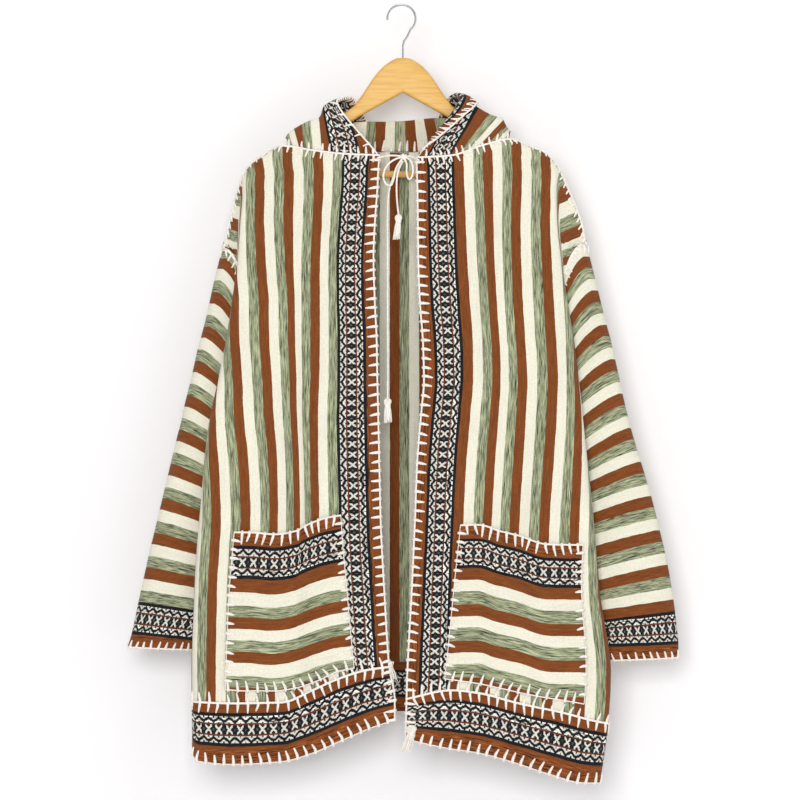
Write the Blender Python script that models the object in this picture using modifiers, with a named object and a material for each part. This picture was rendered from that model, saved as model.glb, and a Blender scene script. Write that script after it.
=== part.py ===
"""Hooded striped poncho jacket hanging on a wooden hanger.

Metres, +Z up. The origin is the top of the inside of the hanger's hook, where a rail bears.
The garment's front faces -Y and the wearer's right side lies at -X, the photo's left.
Sizes in the tables are in millimetres, with x measured outward from the middle plane.
"""

import math
from collections import namedtuple

import bmesh
import bpy
from mathutils import Vector

MM = 0.001

# Cloth
CLOTH = 2.5
SEAM_GAP = 0.3
SEAM_HALF = SEAM_GAP / 2
SHOULDER_FLAT = 4.0
SHOULDER_ROLL = 8.0
ROLL_DEPTH = 6.0
DRAPE_LENGTH = 75.0
FRONT_WIDTH = 262.0
PLACKET_WIDTH = 48.0
NECK_END_W = 126.0
SHOULDER_START_W = 141.0
BACK_CENTRE_SHIFT = 29.0
BACK_NECK_Z = -190.0
BACK_RISE = 60.0
FOLD_REACH = 13.0
FOLD_START_Z = -330.0
BACK_FOLD_REACH = 14.0
POCKET_CORNER = 6.0
BEND_SHARE = 0.293
CORNER_SHARE = 0.3
CORNER_STEP = CORNER_SHARE * POCKET_CORNER
LEAST_RADIUS = 1.5
NECK_DROP = 1.2
SIDE_INSET = 0.7
LOW_INSET = 1.3
LOW_SEAM_Z = -560.0
POCKET_GAP = 1.3
ARMHOLE_GAP = 1.1
RIDGE_GAP = 0.25
UNDERARM_GAP = 0.7
RING_TOP = 0.021
SHOULDER_OPENING = 60.0
HOOD_LIFT = 1.0
NECK_TURN = 24.0
CROWN_REACH = 14.0
FRONT_WAVE = 5.0
FRONT_WAVE_LENGTH = 26.0
BACK_WAVE = 4.0
BACK_WAVE_LENGTH = 30.0
TOP_DROPS = (0.0, 2.5, 6.0, 14.0, 28.0, 48.0, 75.0, 105.0)
LOWER_ROWS = 10
STRIP_Z = -930.0
WELD = 0.00005

# Hanger
HANGER_MIDDLE = 1.3
ARM_THICK = 12.0
BAR_HEIGHT = -220.4
BAR_DIAMETER = 9.0
BAR_HALF = 174.0
WIRE_DIAMETER = 3.2
HOOK_RADIUS = 18.5
SHANK_BOTTOM = -68.6

# Cords and tassels
CORD_DIAMETER = 2.4
TIE_DIAMETER = 2.6
BOW_SPACING = 5.0
LONG_SPACING = 6.5
SHORT_SPACING = 6.0
HEAD_SHARE = 1.9
HEAD_FLATNESS = 0.8
FLARE = 0.16
STRAND_TAPER = 0.88

LEFT = -1
RIGHT = 1

# Height rows of a front panel: opening edge, the fold at the side, the pocket behind that fold
# where the sleeve lies, the bottom of the fold's soft tuck, and the cloth that the tuck hides
FrontRow = namedtuple("FrontRow", "z open_x fold_w fold_x pocket_x tuck")
FRONT_ROWS = {
    LEFT: [
        FrontRow(-185, 28.0, 138, 166, 160, 0),
        FrontRow(-219, 31.0, 180, 206, 200, 0),
        FrontRow(-242, 32.0, 178, 206, 198, 0),
        FrontRow(-281, 35.0, 178, 210, 193, 0),
        FrontRow(-330, 37.0, 180, 213, 189, 1),
        FrontRow(-385, 35.5, 188, 220, 186, 2),
        FrontRow(-437, 33.0, 198, 229, 188.5, 4),
        FrontRow(-462, 32.5, 205, 234, 186, 6),
        FrontRow(-490, 32.0, 212, 239, 188, 8),
        FrontRow(-531, 31.0, 221, 247, 202, 12),
        FrontRow(-600, 29.5, 236, 256, 219, 15),
        FrontRow(-680, 27.5, 246, 264, 232, 14),
        FrontRow(-765, 23.0, 248, 270, 241, 9),
        FrontRow(-859, 17.0, 250, 273, 246, 4),
        FrontRow(-905, 9.5, 250, 273, 247, 3),
        FrontRow(-990, 9.5, 250, 272, 247, 2),
    ],
    RIGHT: [
        FrontRow(-172, 18.0, 124, 141, 136, 0),
        FrontRow(-211, 19.0, 184, 203, 197, 0),
        FrontRow(-242, 20.0, 184, 201, 192, 1),
        FrontRow(-281, 20.5, 186, 202, 189, 4),
        FrontRow(-330, 21.0, 190, 207, 187, 6),
        FrontRow(-385, 23.0, 196, 215, 186, 8),
        FrontRow(-437, 27.0, 203, 224, 189.5, 8),
        FrontRow(-462, 28.0, 205, 227, 187, 7),
        FrontRow(-490, 28.5, 208, 230, 188, 6),
        FrontRow(-531, 25.0, 214, 234, 200, 5),
        FrontRow(-600, 19.5, 226, 241, 215, 4),
        FrontRow(-680, 16.5, 238, 248, 226, 4),
        FrontRow(-765, 12.5, 247, 257, 236, 4),
        FrontRow(-869, 7.0, 251, 271, 245, 4),
        FrontRow(-937, 5.0, 251, 268, 248, 3),
        FrontRow(-1016, 1.5, 251, 256, 240, 2),
    ],
}

# Top edge of a front panel along the cloth: neck seam first, then the shoulder seam down to the
# top of the armhole
TopRow = namedtuple("TopRow", "w x z depth")
TOP_ROWS = {
    LEFT: [
        TopRow(0, 28, -197, 30),
        TopRow(45, 73, -195, 26),
        TopRow(88, 115, -190, 20),
        TopRow(NECK_END_W, 154, -184, 12),
        TopRow(SHOULDER_START_W, 169, -188, 10),
        TopRow(154, 182, -197, 10),
        TopRow(168, 196, -207, 10),
        TopRow(180, 206, -219, 10),
        TopRow(194, 213, -239, 10),
        TopRow(207, 218, -256, 10),
        TopRow(224, 224, -281, 10),
        TopRow(240, 229, -301, 10),
        TopRow(FRONT_WIDTH, 235, -319, 10),
    ],
    RIGHT: [
        TopRow(0, 18, -200, 30),
        TopRow(45, 63, -197, 26),
        TopRow(88, 103, -183, 20),
        TopRow(NECK_END_W, 142, -175, 12),
        TopRow(SHOULDER_START_W, 156, -180, 10),
        TopRow(154, 170, -186, 10),
        TopRow(168, 185, -192, 10),
        TopRow(184, 203, -211, 10),
        TopRow(196, 211, -228, 10),
        TopRow(208, 219, -246, 10),
        TopRow(224, 228, -268, 10),
        TopRow(240, 235, -288, 10),
        TopRow(FRONT_WIDTH, 241, -313, 10),
    ],
}

# Depth of the front and back layers, and of the pocket wall beside the sleeve, by height
DepthRow = namedtuple("DepthRow", "z front back pocket")
DEPTH_ROWS = [
    DepthRow(-185, 24, 22, 9),
    DepthRow(-219, 26, 24, 9),
    DepthRow(-260, 29, 28, 13),
    DepthRow(-319, 33, 32, 19),
    DepthRow(-437, 41, 38, 24),
    DepthRow(-600, 47, 43, 25),
    DepthRow(-900, 50, 47, 26),
    DepthRow(-1020, 51, 48, 26),
]

# Lower edge of a front panel (seam) and of the hem strip below it, along the cloth
HemRow = namedtuple("HemRow", "w seam_z bottom_z")
HEM_ROWS = {
    LEFT: [
        HemRow(0, -861, -930),
        HemRow(28, -865, -940),
        HemRow(60, -875, -955),
        HemRow(98, -892, -973),
        HemRow(135, -907, -984),
        HemRow(185, -908, -987),
        HemRow(232, -906, -983),
        HemRow(FRONT_WIDTH, -904, -960),
    ],
    RIGHT: [
        HemRow(0, -902, -954),
        HemRow(50, -891, -966),
        HemRow(90, -896, -973),
        HemRow(135, -908, -985),
        HemRow(180, -918, -1000),
        HemRow(222, -930, -1011),
        HemRow(FRONT_WIDTH, -938, -1012),
    ],
}

# Sleeve rings from the armhole to the cuff: outer point, inner point, half depth, and how much of
# the ring's fall lies on its inner side
SleeveRow = namedtuple("SleeveRow", "outer_x outer_z inner_x inner_z half_depth hang")
SLEEVE_ROWS = {
    LEFT: [
        SleeveRow(235, -319, 189, -437, 17, 2.2),
        SleeveRow(246, -362, 191, -462, 18, 2.0),
        SleeveRow(257, -411, 197, -494, 18, 1.8),
        SleeveRow(274, -476, 209, -535, 18, 1.6),
        SleeveRow(296, -565, 226, -603, 18, 1.4),
        SleeveRow(318, -656, 238, -682, 18, 1.3),
        SleeveRow(338, -751, 247, -767, 18, 1.2),
        SleeveRow(354, -822, 252, -831, 18, 1.1),
        SleeveRow(359, -838, 253, -842, 18, 1.0),
    ],
    RIGHT: [
        SleeveRow(241, -313, 190, -437, 17, 2.2),
        SleeveRow(254, -362, 192, -462, 18, 2.0),
        SleeveRow(266, -411, 197, -494, 18, 1.8),
        SleeveRow(283, -476, 207, -535, 18, 1.6),
        SleeveRow(304, -560, 222, -603, 18, 1.4),
        SleeveRow(330, -655, 233, -682, 18, 1.3),
        SleeveRow(350, -745, 243, -767, 18, 1.2),
        SleeveRow(362, -835, 251, -838, 18, 1.1),
        SleeveRow(361, -852, 252, -856, 18, 1.0),
    ],
}

# Pocket patches on the front panels: upper and lower edges by the distance along the cloth
PocketRow = namedtuple("PocketRow", "w top_z bottom_z")
POCKET_ROWS = {
    LEFT: [
        PocketRow(42, -664, -862),
        PocketRow(60, -667, -866),
        PocketRow(86, -675, -878),
        PocketRow(115, -685, -888),
        PocketRow(145, -689.5, -892),
        PocketRow(174, -687, -892),
        PocketRow(200, -686.5, -890),
    ],
    RIGHT: [
        PocketRow(43, -678, -876),
        PocketRow(80, -677, -882),
        PocketRow(110, -685, -888),
        PocketRow(140, -692, -895),
        PocketRow(172, -702, -901),
        PocketRow(222, -703, -911),
    ],
}

# Side edges of a pocket along the cloth, at its top and at its bottom
PocketSides = namedtuple("PocketSides", "inner_top inner_bottom outer_top outer_bottom")
POCKET_SIDES = {LEFT: PocketSides(47, 42, 193, 199), RIGHT: PocketSides(57, 43, 218, 211)}

# Hood lines, each at one distance from the face edge, from the neck seam over the crest and down
# the back to the crown seam. Seam is where a line starts, as cloth distance along the front's
# neck seam, and past NECK_ROUND it is on the back's neck seam, measured on from there.
HoodRow = namedtuple(
    "HoodRow",
    "face seam crest_x crest_y crest_z over_x over_y over_z "
    "behind_x behind_y behind_z low_x low_y low_z end_y end_z",
)
NECK_ROUND = 118.0
HOOD_ROWS = {
    LEFT: [
        HoodRow(0, 3, 85, -8, -126, 68, 18, -118, 46, 46, -150, 26, 66, -212, 70, -240),
        HoodRow(22, 30, 92, -8, -127, 82, 18, -120, 62, 52, -156, 36, 69, -222, 74, -256),
        HoodRow(48, 62, 102, -8, -131, 96, 20, -131, 84, 56, -168, 52, 74, -238, 79, -282),
        HoodRow(61, 76, 108, -8, -147, 104, 20, -146, 94, 58, -180, 62, 76, -250, 81, -298),
        HoodRow(86, 98, 131, -6, -155, 124, 22, -155, 112, 60, -194, 78, 78, -270, 84, -322),
        HoodRow(111, 114, 148, -3, -166, 142, 24, -166, 128, 57, -214, 90, 76, -296, 85, -350),
        HoodRow(134, 132, 152, 8, -172, 148, 30, -176, 134, 50, -240, 102, 68, -330, 84, -378),
        HoodRow(160, 150, 138, 20, -174, 132, 32, -182, 122, 40, -270, 106, 54, -380, 81, -404),
        HoodRow(195, 182, 103, 28, -164, 100, 36, -170, 94, 40, -290, 80, 49, -440, 76, -436),
        HoodRow(235, 222, 53, 33, -151, 53, 42, -153, 50, 43, -300, 42, 48, -462, 70, -462),
        HoodRow(280, 272, 0, 34, -150, 0, 43, -152, 0, 44, -300, 0, 48, -465, 58, -480),
    ],
    RIGHT: [
        HoodRow(0, 3, 76, -10, -122, 66, 16, -116, 46, 46, -150, 26, 66, -212, 70, -240),
        HoodRow(22, 20, 86, -10, -124, 78, 18, -120, 62, 52, -156, 36, 69, -222, 74, -256),
        HoodRow(48, 44, 100, -10, -134, 100, 20, -137, 84, 56, -170, 52, 74, -238, 79, -282),
        HoodRow(61, 56, 114, -9, -142, 110, 20, -143, 96, 58, -182, 62, 76, -250, 81, -298),
        HoodRow(86, 82, 132, -8, -150, 126, 22, -151, 112, 60, -194, 78, 78, -270, 84, -322),
        HoodRow(111, 108, 139, -5, -161, 134, 24, -161, 124, 57, -214, 90, 76, -296, 85, -350),
        HoodRow(134, 128, 142, 8, -164, 138, 30, -170, 130, 50, -240, 102, 68, -330, 84, -378),
        HoodRow(160, 146, 126, 20, -168, 122, 32, -176, 118, 40, -270, 106, 54, -380, 81, -404),
        HoodRow(195, 176, 94, 28, -160, 92, 36, -166, 92, 40, -290, 80, 49, -440, 76, -436),
        HoodRow(235, 216, 48, 33, -146, 48, 42, -148, 48, 43, -300, 42, 48, -462, 70, -462),
        HoodRow(280, 264, 0, 34, -150, 0, 43, -152, 0, 44, -300, 0, 48, -465, 58, -480),
    ],
}


def slopes(xs, ys):
    """Slopes of the smooth curve through a table's points that never overshoots them."""
    steps = [(ys[i + 1] - ys[i]) / (xs[i + 1] - xs[i]) for i in range(len(xs) - 1)]
    result = [steps[0]]
    for before, after in zip(steps, steps[1:]):
        result.append(0.0 if before * after <= 0 else 2 * before * after / (before + after))
    result.append(steps[-1])
    return result


def curve_value(xs, ys, x):
    """Value at x of the smooth curve through the points, held at its ends."""
    if x <= xs[0]:
        return ys[0]
    if x >= xs[-1]:
        return ys[-1]
    index = max(i for i in range(len(xs) - 1) if xs[i] <= x)
    tangents = slopes(xs, ys)
    span = xs[index + 1] - xs[index]
    t = (x - xs[index]) / span
    low, high = ys[index], ys[index + 1]
    bend = (2 * t**3 - 3 * t**2 + 1) * low + (3 * t**2 - 2 * t**3) * high
    bend += (t**3 - 2 * t**2 + t) * span * tangents[index]
    return bend + (t**3 - t**2) * span * tangents[index + 1]


def table_value(rows, key, column, x):
    """Read one column of a table at x, where key names the column that x is measured in."""
    ordered = sorted(rows, key=lambda row: getattr(row, key))
    xs = [getattr(row, key) for row in ordered]
    ys = [getattr(row, column) for row in ordered]
    return curve_value(xs, ys, x)


def smooth_step(low, high, x):
    """Rise from 0 to 1 between low and high."""
    t = min(1.0, max(0.0, (x - low) / (high - low)))
    return t * t * (3 - 2 * t)


def ring_point(row, side, angle):
    """Point of a sleeve ring; angle 0 is its outer side, 90 degrees its front, 180 its inner."""
    middle = (row.outer_x + row.inner_x) / 2
    radius = (row.outer_x - row.inner_x) / 2
    fall = max(0.0, ((1 - math.cos(angle)) / 2) ** row.hang - RING_TOP) / (1 - RING_TOP)
    x = middle + radius * math.cos(angle)
    y = -row.half_depth * math.sin(angle)
    z = row.outer_z + (row.inner_z - row.outer_z) * fall
    return Vector((side * x, y, z))


def ring_angle(row, part):
    """Angle at which a sleeve ring has fallen by part of its height."""
    fall = part * (1 - RING_TOP) + RING_TOP
    return math.acos(max(-1.0, min(1.0, 1 - 2 * fall ** (1 / row.hang))))


def front_layer(side, w, z):
    """Depth in front of the middle plane of the front layer at cloth distance w and height z."""
    top = TOP_ROWS[side]
    below = max(0.0, table_value(top, "w", "z", w) - z)
    full = table_value(DEPTH_ROWS, "z", "front", z)
    edge = table_value(top, "w", "depth", w)
    start = edge - shoulder_part(w) * ROLL_DEPTH * (1 - roll_part(below))
    wave = FRONT_WAVE * smooth_step(330, 700, -z) * math.sin(w / FRONT_WAVE_LENGTH + 0.6 * side)
    return start + (full - edge) * (1 - math.exp(-below / DRAPE_LENGTH)) + wave


def shoulder_part(w):
    """0 along the neck seam and 1 along the shoulder seam, at cloth distance w of a front."""
    return smooth_step(NECK_END_W, SHOULDER_START_W, w)


def roll_part(below):
    """How far the cloth has rolled from the shoulder's flat top to upright, by distance below."""
    return math.sqrt(max(0.0, 1 - (1 - min(1.0, below / SHOULDER_ROLL)) ** 2))


def fold_arc(fold_w, fold_x, outer, inner):
    """Round fold as (w, x, depth) rows, from the outer layer over the tip to the inner layer."""
    radius = max(LEAST_RADIUS, (outer - inner) / 2)
    rows = []
    for quarter in (-2, -1, 0, 1, 2):
        angle = quarter * math.pi / 4
        x = fold_x - radius + radius * math.cos(angle)
        rows.append((fold_w + radius * angle, x, outer - radius - radius * math.sin(angle)))
    return rows


def fold_radius(layer, side, fold_w, inner, z):
    """Radius of the side fold and the depth of the outer layer where the fold starts."""
    radius = max(LEAST_RADIUS, (layer(side, fold_w - FOLD_REACH, z) - inner) / 2)
    outer = layer(side, fold_w - radius * math.pi / 2, z)
    return max(LEAST_RADIUS, (outer - inner) / 2), outer


def upper_side(layer, side, fold_w, fold_x, inner, end, z):
    """Side rows (w, x, depth) of a section above the underarm: a soft fold, then on to its end."""
    end_w, end_x, end_depth = end
    inner = max(inner, end_depth + 1.0)
    radius, outer = fold_radius(layer, side, fold_w, inner, z)
    inner = outer - 2 * radius
    if end_x >= fold_x:
        turn_x = fold_x + min(2.0, CORNER_SHARE * (end_x - fold_x))
    else:
        turn_x = max(fold_x - radius, end_x + 0.5)
    quarter = radius * math.pi / 4
    after = quarter * min(1.0, (end_w - fold_w) / (2 * quarter + 6))
    rows = [
        (fold_w - 2 * quarter, fold_x - radius, outer),
        (fold_w - quarter, fold_x - BEND_SHARE * radius, outer - BEND_SHARE * radius),
        (fold_w, fold_x, outer - radius),
        (fold_w + after, fold_x - CORNER_SHARE * (fold_x - turn_x), inner + CORNER_SHARE * radius),
        (fold_w + 2 * after, turn_x, inner),
    ]
    corner = min(POCKET_CORNER, (turn_x - end_x) / 2, inner - end_depth)
    rest = []
    if corner > 0.5:
        rest.append((end_x + corner, inner))
        rest.append((end_x + CORNER_SHARE * corner, inner - CORNER_SHARE * corner))
        rest.append((end_x, inner - corner))
    rest.append((end_x, end_depth))
    return rows + spread(rows[-1], rest, end_w)


def spread(start, places, end_w):
    """Rows (w, x, depth) for places after a start row, their w shared out by length."""
    lengths = [0.0]
    before = start[1:]
    for after in places:
        lengths.append(lengths[-1] + max(0.5, math.dist(before, after)))
        before = after
    span = end_w - start[0]
    return [(start[0] + span * a / lengths[-1], x, y) for a, (x, y) in zip(lengths[1:], places)]


def upper_end(side, z):
    """End (front w, x, depth) of a section above the underarm, on the shoulder or the armhole."""
    armhole = SLEEVE_ROWS[side][0]
    if z < armhole.outer_z:
        part = (armhole.outer_z - z) / (armhole.outer_z - armhole.inner_z)
        point = ring_point(armhole, 1, ring_angle(armhole, part))
        return FRONT_WIDTH, point.x, -point.y
    shoulder = [row for row in TOP_ROWS[side] if row.w >= NECK_END_W]
    end_w = table_value(shoulder, "z", "w", z)
    opened = smooth_step(-armhole.outer_z - SHOULDER_OPENING, -armhole.outer_z, -z)
    corner = ring_point(armhole, 1, ring_angle(armhole, 0))
    end_x = table_value(TOP_ROWS[side], "w", "x", end_w) - opened * (armhole.outer_x - corner.x)
    return end_w, end_x, SHOULDER_FLAT - opened * (corner.y + SHOULDER_FLAT)


def front_section(side, z):
    """Path of a front panel at height z as (w, x, depth) rows; depth is None where the layer's own
    depth holds."""
    rows = FRONT_ROWS[side]
    open_x = table_value(rows, "z", "open_x", z)
    fold_w = table_value(rows, "z", "fold_w", z)
    fold_x = table_value(rows, "z", "fold_x", z)
    pocket_x = table_value(rows, "z", "pocket_x", z)
    tuck = table_value(rows, "z", "tuck", z)
    pocket = table_value(DEPTH_ROWS, "z", "pocket", z)
    above = z > SLEEVE_ROWS[side][0].inner_z
    end = upper_end(side, z) if above else None
    if above and end[0] <= fold_w + 1:
        return [(0, open_x, None), (end[0], end[1], None)]
    if above:
        fold = upper_side(front_layer, side, fold_w, fold_x, pocket, end, z)
    else:
        outer = fold_radius(front_layer, side, fold_w, pocket, z)[1]
        inner = min(pocket, outer - 3)
        fold = fold_arc(fold_w, fold_x, outer, inner)
        last_w, last_x = fold[-1][:2]
        corner_w = last_w + max(2.0, last_x - pocket_x - POCKET_CORNER)
        corner = POCKET_CORNER * math.pi / 4
        fold += [
            (corner_w, min(pocket_x + POCKET_CORNER, last_x - 1), inner),
            (corner_w + corner, pocket_x + CORNER_STEP, inner - CORNER_STEP),
            (corner_w + 2 * corner, pocket_x, inner - POCKET_CORNER),
            (corner_w + 2 * corner + inner, pocket_x, -POCKET_CORNER),
        ]
    rate = (fold[0][1] - open_x + tuck) / fold[0][0]
    path = [(0, open_x, None)]
    for w, hidden in ((PLACKET_WIDTH + 34, 0), (PLACKET_WIDTH + 76, tuck)):
        path.append((w, open_x + w * rate - hidden, None))
    return path + fold


def front_point(side, w, z):
    """Outer point of a front panel at cloth distance w from the opening edge and height z."""
    path = front_section(side, z)
    ws = [row[0] for row in path]
    x = curve_value(ws, [row[1] for row in path], w)
    known = [row for row in path if row[2] is not None]
    if not known or w <= known[0][0]:
        return Vector((side * x, -front_layer(side, w, z), z))
    depth = curve_value([row[0] for row in known], [row[2] for row in known], w)
    return Vector((side * x, -depth, z))


def front_top(side, w):
    """Height of a front panel's top edge at cloth distance w."""
    return table_value(TOP_ROWS[side], "w", "z", w)


def back_top(side, w):
    """Height of the back panel's top edge at cloth distance w from its middle."""
    front_w = w - BACK_CENTRE_SHIFT
    blend = smooth_step(70, NECK_END_W, front_w)
    return BACK_NECK_Z + (front_top(side, max(front_w, 88)) - BACK_NECK_Z) * blend


def back_layer(side, w, z):
    """Depth behind the middle plane of the back layer at cloth distance w and height z."""
    below = max(0.0, back_top(side, w) - z)
    full = table_value(DEPTH_ROWS, "z", "back", z)
    edge = 10 + 22 * (1 - smooth_step(60, NECK_END_W + BACK_CENTRE_SHIFT, w))
    start = edge - shoulder_part(w - BACK_CENTRE_SHIFT) * ROLL_DEPTH * (1 - roll_part(below))
    wave = BACK_WAVE * smooth_step(330, 700, -z) * math.sin(w / BACK_WAVE_LENGTH + side)
    wave *= smooth_step(0, 60, w)
    return start + (full - edge) * (1 - math.exp(-below / DRAPE_LENGTH)) + wave


def back_section(side, z):
    """Path of the back panel at height z, from its middle to its side, as (w, x, y) rows."""
    rows = FRONT_ROWS[side]
    pocket_x = table_value(rows, "z", "pocket_x", z)
    pocket = table_value(DEPTH_ROWS, "z", "pocket", z)
    armhole = SLEEVE_ROWS[side][0]
    if z > armhole.inner_z:
        end_w, end_x, end_depth = upper_end(side, z)
        if z >= armhole.outer_z:
            fold_x = end_x - 2
        else:
            low = smooth_step(-armhole.outer_z, -armhole.inner_z, -z)
            fold_x = max(end_x + 1 - 3 * (1 - low), pocket_x + BACK_FOLD_REACH * low)
        end = (end_w + BACK_CENTRE_SHIFT, end_x, end_depth)
        return [(0, 0, None)] + upper_side(back_layer, side, fold_x, fold_x, pocket, end, z)
    fold_w = back_fold_w(side, z)
    outer = fold_radius(back_layer, side, fold_w, pocket, z)[1]
    inner = min(pocket, outer - 3)
    arc = fold_arc(fold_w, fold_w, outer, inner)
    seam = front_point(side, FRONT_WIDTH, z)
    front_fold_w = table_value(rows, "z", "fold_w", z)
    front_pocket = min(pocket, front_layer(side, front_fold_w - FOLD_REACH, z) - 3)
    rest = [
        (min(pocket_x + POCKET_CORNER, arc[-1][1] - 1), inner),
        (pocket_x + CORNER_STEP, inner - CORNER_STEP),
        (pocket_x, inner - POCKET_CORNER),
    ]
    if -seam.y > 4:
        rest.append((pocket_x, -min(-seam.y, front_pocket) + POCKET_CORNER))
    if side * seam.x > pocket_x + POCKET_CORNER:
        rest.append((pocket_x + CORNER_STEP, -front_pocket + CORNER_STEP))
        rest.append((pocket_x + POCKET_CORNER, -front_pocket))
    rest.append((side * seam.x, seam.y))
    return [(0, 0, None)] + arc + spread(arc[-1], rest, FRONT_WIDTH + BACK_CENTRE_SHIFT)


def back_fold_w(side, z):
    """Cloth distance of the back's side fold from its middle."""
    rows = FRONT_ROWS[side]
    low = min(z, FOLD_START_Z)
    fold_x = table_value(rows, "z", "fold_x", low) - 4
    return min(fold_x, table_value(rows, "z", "pocket_x", low) + BACK_FOLD_REACH)


def back_point(side, w, z):
    """Outer point of the back panel at cloth distance w from its middle and height z."""
    path = back_section(side, z)
    x = curve_value([row[0] for row in path], [row[1] for row in path], w)
    known = [row for row in path if row[2] is not None]
    if not known or w <= known[0][0]:
        return Vector((side * x, back_layer(side, w, z), z))
    depth = curve_value([row[0] for row in known], [row[2] for row in known], w)
    return Vector((side * x, depth, z))


def zone_width(parts, fold_w, end_w):
    """Cloth distance of a grid column given as (zone, part): flat 0, fold 1 or rest 2."""
    zone, part = parts
    low, high = fold_w - FOLD_REACH, min(fold_w + FOLD_REACH, end_w - 7)
    edges = ((0.0, low), (low, high), (high, end_w))
    return edges[zone][0] + (edges[zone][1] - edges[zone][0]) * part


def grid_columns(flat, fold, rest):
    """Columns of a panel's grid as (zone, part), with the given counts in each zone."""
    columns = [(0, i / flat) for i in range(flat)]
    columns += [(1, i / fold) for i in range(fold)]
    return columns + [(2, i / rest) for i in range(rest + 1)]


def panel_rows(column, side, top_at, seam_at, point_at, width_at, half, lower):
    """One column of a body panel's grid from its top edge down to the hem seam."""
    width = width_at(column, FOLD_START_Z)
    front_w = width if point_at is front_point else width - BACK_CENTRE_SHIFT
    part = shoulder_part(front_w)
    top = top_at(side, width) - SEAM_HALF * (1 - part)
    seam_w = width_at(column, STRIP_Z)
    seam = seam_at(side, seam_w) + SEAM_HALF
    first = point_at(side, width, top)
    first.x += part * (side * table_value(TOP_ROWS[side], "w", "x", front_w) - first.x)
    second = point_at(side, width, top - (1 - part) * NECK_DROP)
    run = math.hypot(first.x - second.x, second.y)
    slant = half + math.copysign(RIDGE_GAP + CLOTH * abs(first.x - second.x) / run, half)
    first.y += part * (slant - first.y)
    line = [first]
    for drop in TOP_DROPS:
        z = top - drop - (1 - part) * NECK_DROP
        line.append(point_at(side, width_at(column, z), z))
    start = top - TOP_DROPS[-1] - (1 - part) * NECK_DROP
    for index in range(1, lower):
        z = start + (seam - start) * index / lower
        line.append(point_at(side, width_at(column, z), z))
    return line + [point_at(side, seam_w, seam)]


def sleeve_point(side, along, angle):
    """Point of a sleeve at ring position along (0 armhole, 1 cuff edge)."""
    rows = SLEEVE_ROWS[side]
    keys = [i / (len(rows) - 1) for i in range(len(rows))]
    values = [curve_value(keys, [row[c] for row in rows], along) for c in range(len(rows[0]))]
    return ring_point(SleeveRow(*values), side, angle)


def neck_point(side, seam):
    """Point of the neck seam where a hood line starts."""
    if seam <= NECK_ROUND:
        return front_point(side, seam, front_top(side, seam))
    last = NECK_ROUND + BACK_CENTRE_SHIFT
    total = [row.seam for row in HOOD_ROWS[side]][-1]
    turn = NECK_ROUND + NECK_TURN
    if seam < turn:
        part = (seam - NECK_ROUND) / NECK_TURN
        ahead = front_point(side, NECK_ROUND, front_top(side, NECK_ROUND))
        behind = back_point(side, last, back_top(side, last))
        return ahead.lerp(behind, part)
    w = last * (total - seam) / (total - turn)
    return back_point(side, w, back_top(side, w))


def hood_point(side, face, along):
    """Point of a hood half on the line at distance face, at part along of that line."""
    rows = HOOD_ROWS[side]
    faces = [row.face for row in rows]
    at = {name: curve_value(faces, [getattr(row, name) for row in rows], face) for name in HoodRow._fields}
    start = neck_point(side, at["seam"])
    points = [Vector((abs(start.x), start.y, start.z + HOOD_LIFT))]
    names = ("crest", "over", "behind", "low")
    points += [Vector((at[n + "_x"], at[n + "_y"], at[n + "_z"])) for n in names]
    reach = min(CROWN_REACH, points[-1].x * 0.6)
    points.append(Vector((reach, at["end_y"], at["end_z"])))
    points.append(Vector((0, at["end_y"], at["end_z"])))
    lengths = [0.0]
    for before, after in zip(points, points[1:]):
        lengths.append(lengths[-1] + max(1.0, (after - before).length))
    target = along * lengths[-1]
    point = Vector([curve_value(lengths, [p[axis] for p in points], target) for axis in range(3)])
    return Vector((side * point.x, point.y, point.z))


def material(name, colour, roughness, metallic=0.0):
    """A plain Principled BSDF material."""
    made = bpy.data.materials.new(name)
    made.use_nodes = True
    shader = made.node_tree.nodes["Principled BSDF"]
    shader.inputs["Base Color"].default_value = (*colour, 1.0)
    shader.inputs["Roughness"].default_value = roughness
    shader.inputs["Metallic"].default_value = metallic
    made.diffuse_color = (*colour, 1.0)
    return made


def add_object(name, mesh, parts, finish):
    """Put a mesh in the collection under its node's name."""
    made = bpy.data.objects.new(name, mesh)
    mesh.materials.append(finish)
    parts.objects.link(made)
    return made


def loft(name, grid, parts, finish, closed=False, outward=None):
    """Cloth wall lofted through rows of points, with its thickness on the inner side."""
    builder = bmesh.new()
    rows = [[builder.verts.new(point * MM) for point in row] for row in grid]
    count = len(grid[0])
    last = count if closed else count - 1
    for upper, lower in zip(rows, rows[1:]):
        for i in range(last):
            j = (i + 1) % count
            builder.faces.new((upper[i], lower[i], lower[j], upper[j]))
    builder.normal_update()
    probe = builder.faces[:][len(builder.faces) // 2] if outward else None
    if probe and probe.normal.dot(outward(probe.calc_center_median() / MM)) < 0:
        bmesh.ops.reverse_faces(builder, faces=builder.faces[:])
    return cloth_wall(name, builder, parts, finish)


def cloth_wall(name, builder, parts, finish):
    """Object from an open cloth surface, with the wall's thickness on its inner side."""
    mesh = bpy.data.meshes.new(name)
    builder.to_mesh(mesh)
    builder.free()
    made = add_object(name, mesh, parts, finish)
    wall = made.modifiers.new("cloth wall", "SOLIDIFY")
    wall.thickness = CLOTH * MM
    wall.offset = -1.0
    wall.use_even_offset = False
    mesh.shade_smooth()
    return made


def front_width_at(side):
    """Function that gives a front panel column's cloth distance at a height."""
    def at(column, z):
        fold_w = table_value(FRONT_ROWS[side], "z", "fold_w", min(z, FOLD_START_Z))
        return zone_width(column, fold_w, FRONT_WIDTH)
    return at


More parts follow.
